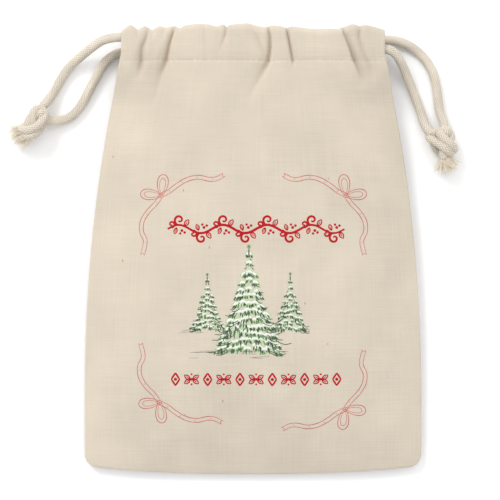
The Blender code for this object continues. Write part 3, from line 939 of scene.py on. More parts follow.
def grown(name, verts, edges, faces, group, values):
    """The plain mesh that a geometry tree makes on a base of points, edges or faces."""
    data = bpy.data.meshes.new(name + "_base")
    data.from_pydata(np.asarray(verts).tolist(), edges, faces)
    base = bpy.data.objects.new(name + "_base", data)
    bpy.context.scene.collection.objects.link(base)
    modifier = base.modifiers.new("grow", "NODES")
    modifier.node_group = group
    for item in group.interface.items_tree:
        if item.in_out == "INPUT" and item.name in values:
            modifier[item.identifier] = values[item.name]
    bpy.context.view_layer.update()
    whole = bpy.data.meshes.new_from_object(base.evaluated_get(bpy.context.evaluated_depsgraph_get()))
    whole.name = name
    made = bpy.data.objects.new(name, whole)
    bpy.context.scene.collection.objects.link(made)
    bpy.data.objects.remove(base)
    if not whole.polygons:
        raise RuntimeError(f"{name} has no faces")
    return made


def stitch_tree():
    """Short rounded stitches, evenly spaced along a line."""
    group, tree = node_group(
        "stitches",
        (("Pitch", "NodeSocketFloat", 0.0028), ("Length", "NodeSocketFloat", 0.0021),
         ("Thickness", "NodeSocketFloat", 0.0002), ("Thread", "NodeSocketMaterial", None)),
    )
    given = tree.add("NodeGroupInput").outputs
    line = tree.add("GeometryNodeMeshToCurve", None, {0: given["Geometry"]})
    spaced = tree.add("GeometryNodeResampleCurve", {"mode": "LENGTH"}, {0: line.outputs[0]})
    tree.nodes.links.new(given["Pitch"], spaced.inputs["Length"])
    bead = tree.add("GeometryNodeMeshUVSphere", None, {"Segments": 6, "Rings": 5, "Radius": 0.5})
    scale = tree.add(
        "ShaderNodeCombineXYZ", None, {0: given["Length"], 1: given["Thickness"], 2: given["Thickness"]}
    )
    stitch = tree.add("GeometryNodeTransform", None, {"Geometry": bead.outputs[0], "Scale": scale.outputs[0]})
    tangent = tree.add("GeometryNodeInputTangent")
    turn = tree.add("FunctionNodeAlignRotationToVector", {"axis": "X"}, {"Vector": tangent.outputs[0]})
    inputs = {"Points": spaced.outputs[0], "Instance": stitch.outputs[0], "Rotation": turn.outputs[0]}
    placed = tree.add("GeometryNodeInstanceOnPoints", None, inputs)
    real = tree.add("GeometryNodeRealizeInstances", None, {0: placed.outputs[0]})
    soft = tree.add("GeometryNodeSetShadeSmooth", None, {0: real.outputs[0]})
    done = tree.add(
        "GeometryNodeSetMaterial", None, {"Geometry": soft.outputs[0], "Material": given["Thread"]}
    )
    tree.add("NodeGroupOutput", None, {0: done.outputs[0]})
    return group


def fibre_tree():
    """Loose spun fibres that stand out of a cut end, fan apart and lie down on the surface."""
    group, tree = node_group(
        "frayed_fibres",
        (("Density", "NodeSocketFloat", 1.7e7), ("Length", "NodeSocketFloat", 0.0094),
         ("Thickness", "NodeSocketFloat", 0.00012), ("Spread", "NodeSocketFloat", 0.85),
         ("Waviness", "NodeSocketFloat", 0.0036), ("Seed", "NodeSocketInt", 5),
         ("Cotton", "NodeSocketMaterial", None)),
    )
    given = tree.add("NodeGroupInput").outputs
    roots = tree.add(
        "GeometryNodeDistributePointsOnFaces", None,
        {"Mesh": given["Geometry"], "Density": given["Density"], "Seed": given["Seed"]},
    )
    tip = tree.add("ShaderNodeCombineXYZ", None, {2: given["Length"]})
    line = tree.add("GeometryNodeCurvePrimitiveLine", None, {"End": tip.outputs[0]})
    bent = tree.add("GeometryNodeResampleCurve", None, {0: line.outputs[0], "Count": 8})
    share = tree.value("GeometryNodeSplineParameter")
    thin = tree.add("GeometryNodeSetCurveRadius", None, {0: bent.outputs[0], "Radius": 1.05 - share * 0.7})
    ring = tree.add("GeometryNodeCurvePrimitiveCircle", None, {"Resolution": 4, "Radius": given["Thickness"]})
    fibre = tree.add(
        "GeometryNodeCurveToMesh", None,
        {"Curve": thin.outputs[0], "Profile Curve": ring.outputs[0], "Fill Caps": True},
    )
    wild = [
        tree.value("FunctionNodeRandomValue", {"data_type": "FLOAT"}, {2: -1.0, 3: 1.0, 8: seed}, 1)
        for seed in (11, 12, 13)
    ]
    fan = Value(tree, given["Spread"])
    angles = tree.add(
        "ShaderNodeCombineXYZ", None, {0: wild[0] * fan, 1: wild[1] * fan, 2: wild[2] * 3.0}
    )
    tilt = tree.add("FunctionNodeEulerToRotation", None, {0: angles.outputs[0]})
    turned = tree.add(
        "FunctionNodeRotateRotation", {"rotation_space": "LOCAL"},
        {"Rotation": roots.outputs["Rotation"], "Rotate By": tilt.outputs[0]},
    )
    long = tree.value("FunctionNodeRandomValue", {"data_type": "FLOAT"}, {2: 0.45, 3: 1.15, 8: 14}, 1)
    placed = tree.add(
        "GeometryNodeInstanceOnPoints", None,
        {"Points": roots.outputs["Points"], "Instance": fibre.outputs[0], "Rotation": turned.outputs[0],
         "Scale": tree.vector(1.0, 1.0, long)},
    )
    real = tree.add("GeometryNodeRealizeInstances", None, {0: placed.outputs[0]})
    place = tree.add("GeometryNodeInputPosition").outputs[0]
    waves = tree.add("ShaderNodeTexNoise", None, {"Vector": place, "Scale": 260.0, "Detail": 2.0})
    centred = tree.add(
        "ShaderNodeVectorMath", {"operation": "SUBTRACT"}, {0: waves.outputs["Color"], 1: (0.5,) * 3}
    )
    swing = tree.add(
        "ShaderNodeVectorMath", {"operation": "SCALE"}, {0: centred.outputs[0], "Scale": given["Waviness"]}
    )
    wavy = tree.add("GeometryNodeSetPosition", None, {0: real.outputs[0], "Offset": swing.outputs[0]})
    after = tree.add("GeometryNodeInputPosition").outputs[0]
    parts = tree.add("ShaderNodeSeparateXYZ", None, {0: after})
    x, y, z = (Value(tree, parts.outputs[k]) for k in range(3))
    low = z.math("MAXIMUM", z * 0.12 + 0.00022)
    lying = tree.vector(x, y, low)
    resting = tree.add("GeometryNodeSetPosition", None, {0: wavy.outputs[0], "Position": lying})
    soft = tree.add("GeometryNodeSetShadeSmooth", None, {0: resting.outputs[0]})
    done = tree.add(
        "GeometryNodeSetMaterial", None, {"Geometry": soft.outputs[0], "Material": given["Cotton"]}
    )
    tree.add("NodeGroupOutput", None, {0: done.outputs[0]})
    return group


# ---- the print ----

# A corner bow, drawn once and mirrored into each corner, in millimetres from its knot
BOW_LOOPS = ((1.6, 12.2, 3.6), (-12.2, 1.2, 3.5))
BOW_TAILS = (
    ((0.6, 0.4), (5.0, 2.6), (10.0, 6.4), (16.0, 9.6), (22.0, 10.6), (28.0, 9.4), (32.5, 9.8), (36.6, 12.0)),
    ((-0.4, -0.6), (-3.2, -4.6), (-8.0, -9.6), (-11.2, -15.0), (-11.6, -21.0), (-9.4, -26.6), (-11.0, -34.6)),
)
BOW_PLACES = ((-53.5, 32.1, 1, 1), (54.1, 32.1, -1, 1), (-54.7, -88.6, 1, -1), (53.8, -92.6, -1, -1))
RIBBON = 2.3

# Firs: middle, foot, top, half width at the foot, tiers, all in millimetres
FIRS = (
    (-2.4, -59.0, 1.2, 23.4, 13, 1.0), (-26.6, -46.0, -15.0, 11.4, 9, 0.62),
    (21.6, -46.4, -14.6, 11.0, 9, 0.62),
)


def stroke_shape(points, width, lift, taper=0.35):
    """One pen stroke as a thin closed film over the front cloth. Points and width are in millimetres."""
    flat = np.column_stack([np.asarray(points, float), np.zeros(len(points))]) * MM
    line = spline(flat, 0.0009) if len(flat) > 2 else even(flat, 0.0009)
    ahead = np.gradient(line[:, :2], axis=0)
    ahead /= np.maximum(np.linalg.norm(ahead, axis=1), 1e-12)[:, None]
    side = np.column_stack([-ahead[:, 1], ahead[:, 0]])
    share = np.linspace(0, 1, len(line))
    press = 1 - taper + taper * np.sin(np.pi * np.clip(share * 0.9 + 0.08, 0, 1))
    reach = side * (width * MM / 2 * press)[:, None]
    left, right = line[:, :2] + reach, line[:, :2] - reach
    ring = np.stack([left, right, right, left], 1).reshape(-1, 2)
    up = np.tile([lift, lift, lift - 0.00012, lift - 0.00012], len(line))
    z = front_surface(ring[:, 0], ring[:, 1]) + up
    verts = np.column_stack([ring, z])
    faces = [tuple(f[::-1]) for f in grid_faces(len(line), 4, wrap=True).tolist()]
    last = 4 * (len(line) - 1)
    faces += [(0, 1, 2, 3), (last + 3, last + 2, last + 1, last)]
    uv = np.column_stack([ring[:, 0] / half_width(ring[:, 1]) * FLAT_HALF, ring[:, 1]])
    corners = np.concatenate([np.array(f) for f in faces])
    return verts, faces, uv[corners]


def outline(points, gap):
    """The two edges of a ribbon that follows a line."""
    line = np.asarray(points, float)
    ahead = np.gradient(line, axis=0)
    ahead /= np.linalg.norm(ahead, axis=1)[:, None]
    side = np.column_stack([-ahead[:, 1], ahead[:, 0]]) * gap / 2
    return line + side, line - side


def loop_points(tip_x, tip_y, wide):
    """A teardrop loop from the knot of a bow out to its tip and back."""
    t = np.linspace(0, 2 * np.pi, 15)
    long = math.hypot(tip_x, tip_y)
    along, across = long * (1 - np.cos(t)) / 2, wide * np.sin(t) * (0.55 + 0.45 * (1 - np.cos(t)) / 2) * 1.1
    way = np.array((tip_x, tip_y)) / long
    return along[:, None] * way + across[:, None] * np.array((-way[1], way[0]))


def bow_strokes():
    """Four corner bows of ribbon, drawn in fine double lines: the pink lines and their red shade."""
    pink, red = [], []
    for x, y, turn_x, turn_y in BOW_PLACES:
        place = lambda line: np.asarray(line) * (turn_x, turn_y) + (x, y)
        for tip_x, tip_y, wide in BOW_LOOPS:
            loop = loop_points(tip_x, tip_y, wide)
            pink.append((place(loop), 0.42))
            inner = loop_points(tip_x * 0.72, tip_y * 0.72, wide * 0.55) + np.array((tip_x, tip_y)) * 0.10
            pink.append((place(inner), 0.30))
            red += [(place(loop[3:7]), 0.26), (place(loop[8:11]), 0.24), (place(inner[6:9]), 0.22)]
        for tail in BOW_TAILS:
            fine = spline(np.column_stack([np.array(tail), np.zeros(len(tail))]), 1.5)[:, :2]
            for k, edge in enumerate(outline(fine, RIBBON)):
                pink.append((place(edge), 0.40))
                red += [(place(edge[n : n + 4]), 0.25) for n in range(1 + 3 * k, len(edge) - 4, 7)]
            a, b = outline(fine, RIBBON)
            notch = fine[-1] - (fine[-1] - fine[-2]) * 0.8
            pink.append((place([a[-1], notch, b[-1]]), 0.32))
            for k in range(3, len(fine) - 2, 6):
                red.append((place([a[k] * 0.75 + b[k] * 0.25, a[k] * 0.3 + b[k] * 0.7 + (0.5, 0.2)]), 0.20))
        knot = [(-1.1, -0.9), (-1.0, 0.9), (0.6, 1.2), (1.1, -0.6), (-0.4, -1.2), (-1.1, -0.9)]
        pink.append((place(knot), 0.36))
        red.append((place([(-0.5, -0.5), (0.4, 0.6)]), 0.24))
    return pink, red


def curl(x, y, size, turn, start, rounds=1.15):
    """A spiral that winds in from its stem."""
    t = np.linspace(0, 1, 16)
    angle = start + turn * t * rounds * 2 * np.pi
    radius = size * (1 - 0.80 * t)
    return np.column_stack([x + radius * np.cos(angle), y + radius * np.sin(angle)])


def disc_shape(x, y, radius, lift):
    """A filled dot of ink, as a thin closed film."""
    t = np.linspace(0, 2 * np.pi, 14, endpoint=False)
    ring = np.column_stack([x + radius * np.cos(t), y + radius * np.sin(t)]) * MM
    ring = np.concatenate([ring, ring])
    up = np.repeat([lift, lift - 0.00012], 14)
    verts = np.column_stack([ring, front_surface(ring[:, 0], ring[:, 1]) + up])
    faces = [tuple(range(14)), tuple(range(27, 13, -1))]
    faces += [(k, k + 14, (k + 1) % 14 + 14, (k + 1) % 14) for k in range(14)]
    uv = np.column_stack([ring[:, 0] / half_width(ring[:, 1]) * FLAT_HALF, ring[:, 1]])
    return verts, faces, uv[np.concatenate([np.array(f) for f in faces])]


def leaf_strokes(x, y, long, angle, width):
    """A pointed leaf: its two edges and its vein."""
    t = np.linspace(0, 1, 7)
    way = np.array((math.cos(angle), math.sin(angle)))
    across = np.array((-way[1], way[0]))
    bulge = (np.sin(np.pi * t) * long * 0.25)[:, None] * across
    spine = np.array((x, y)) + (t * long)[:, None] * way
    return [(spine + bulge, width), (spine - bulge, width), (spine[:5], width * 0.7)]


def garland_strokes():
    """Two rows of red scrollwork: a waving stem with curls and leaves, and diamonds between leafy sprigs.
    Gives the pen strokes and the filled dots."""
    red, dots = [], []
    middle, reach, count = (1.8, 12.6), 51.5, 8
    step = 2 * reach / count
    at = np.linspace(-reach, reach, 60)
    stem = middle[1] + 2.4 * np.sin(np.pi * (at + reach) / step)
    red.append((np.column_stack([at + middle[0], stem]), 1.50))
    for i in range(count):
        up = 1 if i % 2 == 0 else -1
        x = middle[0] - reach + (i + 0.5) * step
        crest = middle[1] + 2.4 * up
        red.append((curl(x + 0.4, crest + up * 2.9, 3.2, -up, -up * np.pi / 2), 1.35))
        red.append((curl(x - 4.2, crest + up * 0.4, 2.1, up, -up * np.pi / 2), 1.15))
        red += leaf_strokes(x + 3.4, crest - up * 0.8, 4.6, up * 1.0, 0.75)
        red += leaf_strokes(x - 1.2, crest - up * 1.6, 3.8, -up * 1.9, 0.70)
        for right, down, size in ((1.9, 3.3, 0.85), (3.5, 4.4, 0.75), (0.9, 5.0, 0.70)):
            dots.append((x + right, crest - up * down, size))
    low = (1.8, -74.9)
    for i in range(11):
        x = low[0] + (i - 5) * 9.4
        if i % 2 == 0:
            corners = ((-2.4, 0.0), (0.0, 3.7), (2.4, 0.0), (0.0, -3.7), (-2.4, 0.0))
            diamond = [(x + a, low[1] + b) for a, b in corners]
            red += [([a, b], 1.10) for a, b in zip(diamond, diamond[1:])]
            dots.append((x, low[1], 0.95))
        else:
            for way in (0, np.pi):
                for turn in (-0.62, 0.62):
                    red += leaf_strokes(x + 0.7 * math.cos(way), low[1], 4.3, way + turn, 0.75)
            dots += [(x, low[1] + 0.1, 0.8), (x, low[1] + 3.0, 0.55), (x, low[1] - 2.9, 0.55)]
    return red, dots


def fir_strokes():
    """Three snow-laden firs in short pen strokes: dark, mid and light green, snow, and grey ground lines."""
    draw = np.random.default_rng(24)
    inks = {"dark": [], "green": [], "pale": [], "snow": [], "grey": []}
    for x, foot, top, half, tiers, scale in FIRS:
        high = top - foot
        fine = scale**0.5
        for k in range(tiers, 0, -1):
            share = k / tiers
            y = top - high * share**0.90 + 1.6 * scale
            wide = half * share**1.30 * draw.uniform(0.92, 1.04)
            deep = high / tiers * (0.55 + 0.5 * share)
            puffs = 1 + 2 * int(wide / (4.4 * scale) + 0.35)
            for j in range(puffs):
                s = 0.0 if puffs == 1 else (j / (puffs - 1) * 2 - 1) * 0.74 + draw.uniform(-0.06, 0.06)
                cx, cy = x + s * wide, y + deep * (0.30 - 0.60 * s * s + draw.uniform(-0.28, 0.28))
                reach = (1.5 + 0.8 * share) * scale
                lean = s * 1.2 * scale
                left, right = (1.0 * scale * (0.3 + max(0.0, way * s)) for way in (-1, 1))
                puff = [(cx - reach, cy - left), (cx, cy + 0.45 * scale), (cx + reach, cy - right)]
                inks["pale"].append(([(a, b - 1.0 * scale) for a, b in puff], 5.0 * scale))
                inks["snow"].append(([(a, b + 0.35 * scale) for a, b in puff], 1.35 * scale))
                for _ in range(7):
                    px = cx + draw.uniform(-1.0, 1.0) * reach
                    py = cy - draw.uniform(0.2, 1.1) * scale
                    fall = (px - cx) * 0.35 + lean * 0.8
                    long = draw.uniform(0.9, 2.3) * scale * (0.7 + 0.5 * share)
                    shade = "dark" if draw.random() < 0.42 else "green"
                    inks[shade].append(([(px, py), (px + fall, py - long)], draw.uniform(0.42, 0.85) * fine))
            for side in (-1, 1):
                for _ in range(1 + int(2.2 * share + draw.uniform(0, 1))):
                    start = x + side * wide * draw.uniform(0.45, 0.80)
                    out = wide * draw.uniform(0.22, 0.44) + 0.8 * scale
                    py = y - deep * draw.uniform(-0.25, 0.55)
                    hook = [(start, py), (start + side * out * 0.55, py - deep * 0.42),
                            (start + side * out, py - deep * draw.uniform(0.25, 0.5))]
                    inks["dark"].append((hook, 0.40 * fine))
        inks["green"].append(([(x, top + 0.4), (x + 0.1, top - 4.6 * scale)], 0.7 * fine))
        inks["dark"].append(([(x - 0.2, top - 0.6), (x - 0.1, top - 5.2 * scale)], 0.4 * fine))
        for angle in range(0, 180, 45):
            c = math.cos(math.radians(angle)) * 1.3 * scale
            d = math.sin(math.radians(angle)) * 1.3 * scale
            inks["green"].append(([(x - c, top + 1.2 - d), (x + c, top + 1.2 + d)], 0.32))
        for _ in range(int(12 * scale)):
            px = x + draw.uniform(-1.6, 1.1) * half
            py = foot - draw.uniform(-0.6, 3.6) * scale
            far = (px + draw.uniform(4, 11) * scale, py + draw.uniform(-0.8, 0.8))
            inks["grey"].append(([(px, py), far], 0.28))
    return inks


# ---- what a user can change ----


class PouchCloth(bpy.types.PropertyGroup):
    thickness: bpy.props.FloatProperty(
        name="Cloth thickness", description="How thick the cotton is", default=0.0005, min=0.0002, max=0.001,
        unit="LENGTH",
    )
    pitch: bpy.props.FloatProperty(
        name="Thread spacing", description="From one thread of the weave to the next", default=0.00046,
        min=0.0002, max=0.002, unit="LENGTH",
    )
    colour: bpy.props.FloatVectorProperty(
        name="Cloth colour", description="Colour of the unbleached cotton, 0 to 255", default=(214, 202, 184),
        size=3, min=0, max=255,
    )
    stitch: bpy.props.FloatProperty(
        name="Stitch length", description="From one stitch to the next", default=0.0028, min=0.001, max=0.006,
        unit="LENGTH",
    )


class PouchCords(bpy.types.PropertyGroup):
    diameter: bpy.props.FloatProperty(
        name="Cord diameter", description="Across a drawstring", default=CORD, min=0.003, max=0.008,
        unit="LENGTH",
    )
    strands: bpy.props.IntProperty(
        name="Braid strands", description="Strands that run each way round a drawstring", default=11,
        min=4, max=16,
    )
    lay: bpy.props.FloatProperty(
        name="Braid lay", description="Length in which a strand goes once round", default=0.0230, min=0.005,
        max=0.05, unit="LENGTH",
    )
    colour: bpy.props.FloatVectorProperty(
        name="Cord colour", description="Colour of the cotton cord, 0 to 255", default=(226, 215, 198),
        size=3, min=0, max=255,
    )


class PouchStage(bpy.types.PropertyGroup):
    lens: bpy.props.FloatProperty(
        name="Lens", description="Focal length of the camera, in millimetres", default=110.0, min=30, max=300
    )
    frame_width: bpy.props.FloatProperty(
        name="Width in view", description="Width that the camera takes in at the pouch", default=0.294,
        min=0.1, max=1.0, unit="LENGTH",
    )
    light: bpy.props.FloatProperty(
        name="Key light", description="Power of the soft key light", default=19.0, min=0, unit="POWER"
    )
    sky: bpy.props.FloatProperty(
        name="Surround", description="Strength of the even light all round", default=0.955, min=0
    )


# ---- one operator for each piece or group of pieces ----


class POUCH_OT_stage(bpy.types.Operator):
    """Camera straight above, a pale floor and soft studio light"""

    bl_idname = "pouch.stage"
    bl_label = "Camera, floor and light"

    def execute(self, context):
        scene = context.scene
        wants = scene.pouch_stage
        camera = bpy.data.objects.new("camera", bpy.data.cameras.new("camera"))
        scene.collection.objects.link(camera)
        camera.data.lens = wants.lens
        camera.data.sensor_width = 36.0
        camera.location = (-0.00176, 0.0004, wants.frame_width * wants.lens / 36.0 + 0.012)
        scene.camera = camera
        scene.view_settings.view_transform = "Standard"

        reach = 3.0
        corners = [(-reach, -reach), (reach, -reach), (reach, reach), (-reach, reach)]
        floor = add_piece(
            "floor", [(x, y, -0.0002) for x, y in corners], [(0, 1, 2, 3)], plain_paper("paper", 0.95)
        )

        world = bpy.data.worlds.new("surround")
        scene.world = world
        world.use_nodes = True
        sky = world.node_tree.nodes["Background"]
        sky.inputs["Color"].default_value = (0.985, 0.99, 1.0, 1.0)
        sky.inputs["Strength"].default_value = wants.sky
        for name, place, size, share in (
            ("key_light", (-0.95, 1.35, 1.40), 0.70, 1.0),
            ("fill_light", (0.50, 0.90, 1.80), 1.20, 0.30),
        ):
            lamp = bpy.data.lights.new(name, "AREA")
            lamp.shape = "SQUARE"
            lamp.size = size
            lamp.energy = wants.light * share
            lamp.color = (1.0, 0.995, 0.985)
            light = bpy.data.objects.new(name, lamp)
            scene.collection.objects.link(light)
            light.location = place
            light.rotation_euler = (-light.location).to_track_quat("-Z", "Y").to_euler()
        return {"FINISHED"}


class POUCH_OT_cords(bpy.types.Operator):
    """The two braided drawstrings, each from its knot through both casings and back"""

    bl_idname = "pouch.cords"
    bl_label = "Drawstrings"

    def execute(self, context):
        wants = context.scene.pouch_cords
        finish = cotton_yarn("cotton_cord", wants.colour, 1 / wants.lay * wants.strands, wants.strands)
        relief = braid(wants.strands, wants.lay, 0.00032)
        routes = {
            "left": (
                -1, LEFT_KNOT, LEFT_KNOT_HALF,
                (UPPER_LANE_Y, LEFT_UPPER, LEFT_UPPER_IN),
                (LOWER_LANE_Y, LEFT_LOWER, LEFT_LOWER_IN),
            ),
            "right": (
                1, RIGHT_KNOT, RIGHT_KNOT_HALF,
                (LOWER_LANE_Y, RIGHT_LOWER, RIGHT_LOWER_IN),
                (UPPER_LANE_Y, RIGHT_UPPER, RIGHT_UPPER_IN),
            ),
        }
        strands = pull_tight(0.0043)
        fray = cotton_yarn("frayed_cotton", (240, 229, 210), 900.0, 2.0, 0.97)
        fibres = fibre_tree()
        for side, route in routes.items():
            line = drawstring(*route)
            gone = np.arange(len(line)) * length_of(line) / (len(line) - 1)
            from_end = np.minimum(gone, gone[-1] - gone)
            radius = wants.diameter / 2 - 0.00002 - 0.0006 * (1 - smooth(from_end / 0.0032))
            shape = tube_shape(line, radius, 48, relief)
            cord = add_piece(f"{side}_drawstring_braid", *shape[:2], finish, shape[2], "strand")
            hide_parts(f"{side}_drawstring")
            knot, tails = self.knot(side, strands, route[1], line, finish, relief)
            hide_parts(f"{side}_knot")
            values = {"Cotton": fray, "Seed": 5 if side == "left" else 9}
            tuft = grown(f"{side}_frayed_tuft", *tails, fibres, values)
            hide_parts(f"{side}_frayed_ends")
            for piece, slot in ((cord, "cotton_cord"), (knot, "cotton_cord"), (tuft, "frayed_cotton")):
                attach(piece, f"{side}_cord")
        return {"FINISHED"}

    def knot(self, side, strands, middle, line, finish, relief):
        """The doubled overhand knot at the end of a cord, and the cut ends that its fibres grow from."""
        way, roll, mirror = KNOT_TURNS[side]
        middle = np.array(middle)
        placed, along = placed_knot(strands, KNOT_SIZES[side], middle, way, roll, mirror, STRAND / 2)
        ends = []
        for end, before in ((line[0], line[8]), (line[-1], line[-9])):
            ends.append((end, (end - before) / np.linalg.norm(end - before)))
        lines, thick = knot_lines(placed, middle, along, TAIL_WAYS[side], ends)
        shapes = [
            tube_shape(path, STRAND / 2 + (CORD / 2 - 0.0003 - STRAND / 2) * wide, 40, relief)
            for path, wide in zip(lines, thick)
        ]
        shape = joined(shapes)
        piece = add_piece(f"{side}_knot_strands", *shape[:2], finish, shape[2], "strand")
        points, faces = [], []
        for path in lines:
            ahead = path[-1] - path[-4]
            ahead /= np.linalg.norm(ahead)
            across = np.cross(ahead, (0, 0, 1.0))
            across /= np.linalg.norm(across)
            high = np.cross(across, ahead)
            turn = np.linspace(0, 2 * np.pi, 12, endpoint=False)[:, None]
            start = len(points) * 12
            circle = (across * np.cos(turn) + high * np.sin(turn)) * STRAND * 0.42
            points.append(path[-1] - ahead * 0.0006 + circle)
            face = list(range(start, start + 12))
            ring = points[-1]
            normal = np.cross(ring[3] - ring[0], ring[6] - ring[3])
            faces.append(face if normal @ ahead > 0 else face[::-1])
        return piece, (np.concatenate(points), [], faces)


class POUCH_OT_cloth(bpy.types.Operator):
    """The front and back cloth with their casings, each as a left and a right half"""

    bl_idname = "pouch.cloth"
    bl_label = "Cloth and casings"

    def execute(self, context):
        wants = context.scene.pouch_cloth
        finish = cotton_cloth("cotton_cloth", wants.colour, wants.pitch)
        front = cloth_side(True, finish, wants.thickness)
        back = cloth_side(False, finish, wants.thickness)
        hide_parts("front_panel", "front_channel")
        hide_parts("back_panel", "back_channel")
        for pair, rests in ((front, ()), (back, ())):
            for cloth, side in zip(pair, (-1, 1)):
                bend_with_mouth(cloth, side)
        return {"FINISHED"}


def bend_with_mouth(piece, side):
    """Bakes the piece's place into its vertices. The corner of the mouth, its top and a place lower down are
    worked out but not used.
    """
    corner = np.array((side * MOUTH_HALF, RIM_Y, 0.0))
    top, low = np.array((0.0, RIM_Y, 0.0)), np.array((side * 0.0930, -0.0100, 0.0))
    "right_cord" if side < 0 else "left_cord"
    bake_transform(piece)


class POUCH_OT_seams(bpy.types.Operator):
    """The seam allowances inside the pouch"""

    bl_idname = "pouch.seams"
    bl_label = "Seam allowances"

    def execute(self, context):
        wants = context.scene.pouch_cloth
        # a copy of the cloth 5% darker: painted shade for the seam allowances inside the pouch
        finish = cotton_cloth("cotton_inside", tuple(c * 0.95 for c in wants.colour), wants.pitch)
        for word, side in (("left", -1), ("right", 1)):
            along, across = np.meshgrid(np.linspace(0, 1, 160), np.linspace(0, 1, 8), indexing="ij")
            y = BOTTOM_Y + 0.0135 + along * 0.209
            x = side * (half_width(y) - 0.0024 - across * 0.007)
            piece = self.strip(f"{word}_seam_allowance_cloth", x, y, side < 0, finish)
            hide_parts(f"{word}_seam_allowance")
            bend_with_mouth(piece, side)
        along, across = np.meshgrid(np.linspace(-0.9, 0.9, 150), np.linspace(0, 1, 8), indexing="ij")
        x = along * (HALF_WIDTH - 0.006)
        y = bottom_edge(x) + 0.0030 + across * 0.007
        piece = self.strip("bottom_seam_allowance_cloth", x, y, False, finish)
        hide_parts("bottom_seam_allowance")
        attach(piece, "pouch")
        return {"FINISHED"}

    def strip(self, name, x, y, flip, finish):
        z = (front_surface(x, y) + back_surface(x, y)) / 2 + 0.00012 * np.sin(y * 900 + x * 700)
        verts = np.stack([x, y, z], -1).reshape(-1, 3)
        faces = grid_faces(*x.shape)
        if flip:
            faces = faces[:, ::-1]
        flat = np.column_stack([x.ravel(), y.ravel()])
        piece = closed_sheet(name, verts, faces, flat, finish, 0.0008)
        return piece


class POUCH_OT_stitches(bpy.types.Operator):
    """The stitching below each casing and in the side and bottom seams"""

    bl_idname = "pouch.stitches"
    bl_label = "Stitching"

    def execute(self, context):
        wants = context.scene.pouch_cloth
        finish = cotton_yarn("sewing_thread", (236, 227, 210), 1500.0, 2.0)
        tree = stitch_tree()
        over = 0.00002
        rows = {}
        for word, side in (("left", -1), ("right", 1)):
            x = side * np.linspace(0.0006, half_width(STITCH_Y) - 0.0012, 260)
            y = np.full_like(x, STITCH_Y)
            front = np.column_stack([x, y, front_surface(x, y) + over])
            back = np.column_stack([x, y, np.maximum(back_surface(x, y), 0.0001)])
            y = np.linspace(BOTTOM_Y + 0.0125, SLIT_Y - 0.001, 460)
            half = half_width(y)
            edge = np.column_stack([side * (half - 0.00035), y, seam_height(y) + 0.0002])
            sewn = "front_channel_thread" if side < 0 else None
            rows[f"front_channel_stitches_{word}"] = (front, side, sewn)
            rows[f"back_channel_stitches_{word}"] = (back, side, "back_channel_thread" if side < 0 else None)
            rows[f"{word}_seam_stitches"] = (edge, side, f"{word}_seam_thread")
        x = np.linspace(-0.0915, 0.0915, 380)
        low = np.column_stack([x, bottom_edge(x) + 0.00035, np.full_like(x, SEAM_Z + 0.0002)])
        rows["bottom_seam_stitches"] = (low, 0, "bottom_seam_thread")
        for name, (line, side, node) in rows.items():
            edges = [(k, k + 1) for k in range(len(line) - 1)]
            values = {
                "Pitch": wants.stitch, "Length": wants.stitch * 0.78, "Thickness": 0.00030, "Thread": finish,
            }
            piece = grown(name, line, edges, [], tree, values)
            if node:
                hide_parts(node)
            if side:
                bend_with_mouth(piece, side)
            else:
                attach(piece, "pouch")
        return {"FINISHED"}


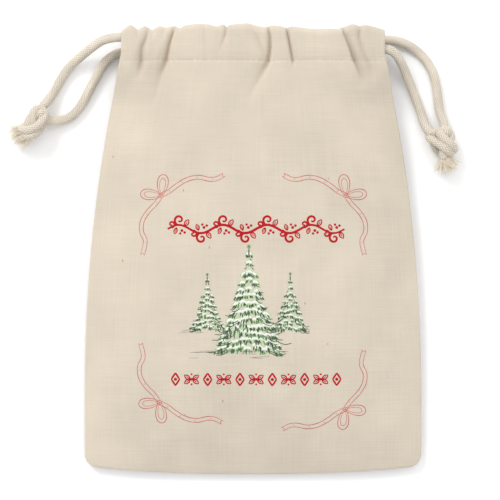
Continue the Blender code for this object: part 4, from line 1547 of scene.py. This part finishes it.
class POUCH_OT_print(bpy.types.Operator):
    """The printed firs, bows and red scrollwork on the front"""

    bl_idname = "pouch.print"
    bl_label = "Print"

    def execute(self, context):
        wants = context.scene.pouch_cloth
        pink, red_shade = bow_strokes()
        firs = fir_strokes()
        scrolls, dots = garland_strokes()
        layers = (
            ("print_ground_lines", "grey_ink", (126, 128, 122), firs["grey"], 0.00003, 0.8),
            ("print_fir_light_green", "light_green_ink", (196, 216, 176), firs["pale"], 0.00004, 1.1),
            ("print_fir_snow", "snow_ink", (246, 248, 240), firs["snow"], 0.00007, 1.1),
            ("print_fir_green", "green_ink", (98, 140, 84), firs["green"], 0.00010, 1.2),
            ("print_fir_dark_green", "dark_green_ink", (58, 78, 60), firs["dark"], 0.00013, 1.2),
            ("print_bows", "pink_ink", (210, 92, 96), pink, 0.00004, 1.1),
            ("print_bow_shade", "rose_ink", (176, 58, 62), red_shade, 0.00007, 1.1),
            ("print_scrollwork", "red_ink", (188, 10, 22), scrolls, 0.00004, 1.5),
        )
        for name, word, colour, strokes, lift, cover in layers:
            finish = ink(word, colour, wants.colour, wants.pitch, cover)
            shapes = [stroke_shape(points, width, lift) for points, width in strokes]
            if strokes is scrolls:
                shapes += [disc_shape(x, y, radius, lift + 0.00002) for x, y, radius in dots]
            shape = joined(shapes)
            piece = add_piece(name, *shape[:2], finish, shape[2], smooth_faces=False)
            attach(piece, "pouch")
        return {"FINISHED"}


CLASSES = [
    PouchCloth, PouchCords, PouchStage, POUCH_OT_stage, POUCH_OT_cords, POUCH_OT_cloth, POUCH_OT_seams,
    POUCH_OT_stitches, POUCH_OT_print,
]
STEPS = [c for c in CLASSES if issubclass(c, bpy.types.Operator)]


class POUCH_PT_making(bpy.types.Panel):
    """The sizes and colours of the pouch, and the steps that make it"""

    bl_idname = "POUCH_PT_making"
    bl_label = "Drawstring gift pouch"
    bl_space_type = "VIEW_3D"
    bl_region_type = "UI"
    bl_category = "Pouch"

    def draw(self, context):
        for group in (context.scene.pouch_cloth, context.scene.pouch_cords, context.scene.pouch_stage):
            box = self.layout.box()
            for key in group.__annotations__:
                box.prop(group, key)
        for step in STEPS:
            self.layout.operator(step.bl_idname)


def register():
    for made in (*CLASSES, POUCH_PT_making):
        bpy.utils.register_class(made)
    bpy.types.Scene.pouch_cloth = bpy.props.PointerProperty(type=PouchCloth)
    bpy.types.Scene.pouch_cords = bpy.props.PointerProperty(type=PouchCords)
    bpy.types.Scene.pouch_stage = bpy.props.PointerProperty(type=PouchStage)


def unregister():
    del bpy.types.Scene.pouch_stage
    del bpy.types.Scene.pouch_cords
    del bpy.types.Scene.pouch_cloth
    for made in reversed((*CLASSES, POUCH_PT_making)):
        bpy.utils.unregister_class(made)


def main():
    register()
    for step in STEPS:
        group, name = step.bl_idname.split(".")
        getattr(getattr(bpy.ops, group), name)()


if __name__ == "__main__":
    main()
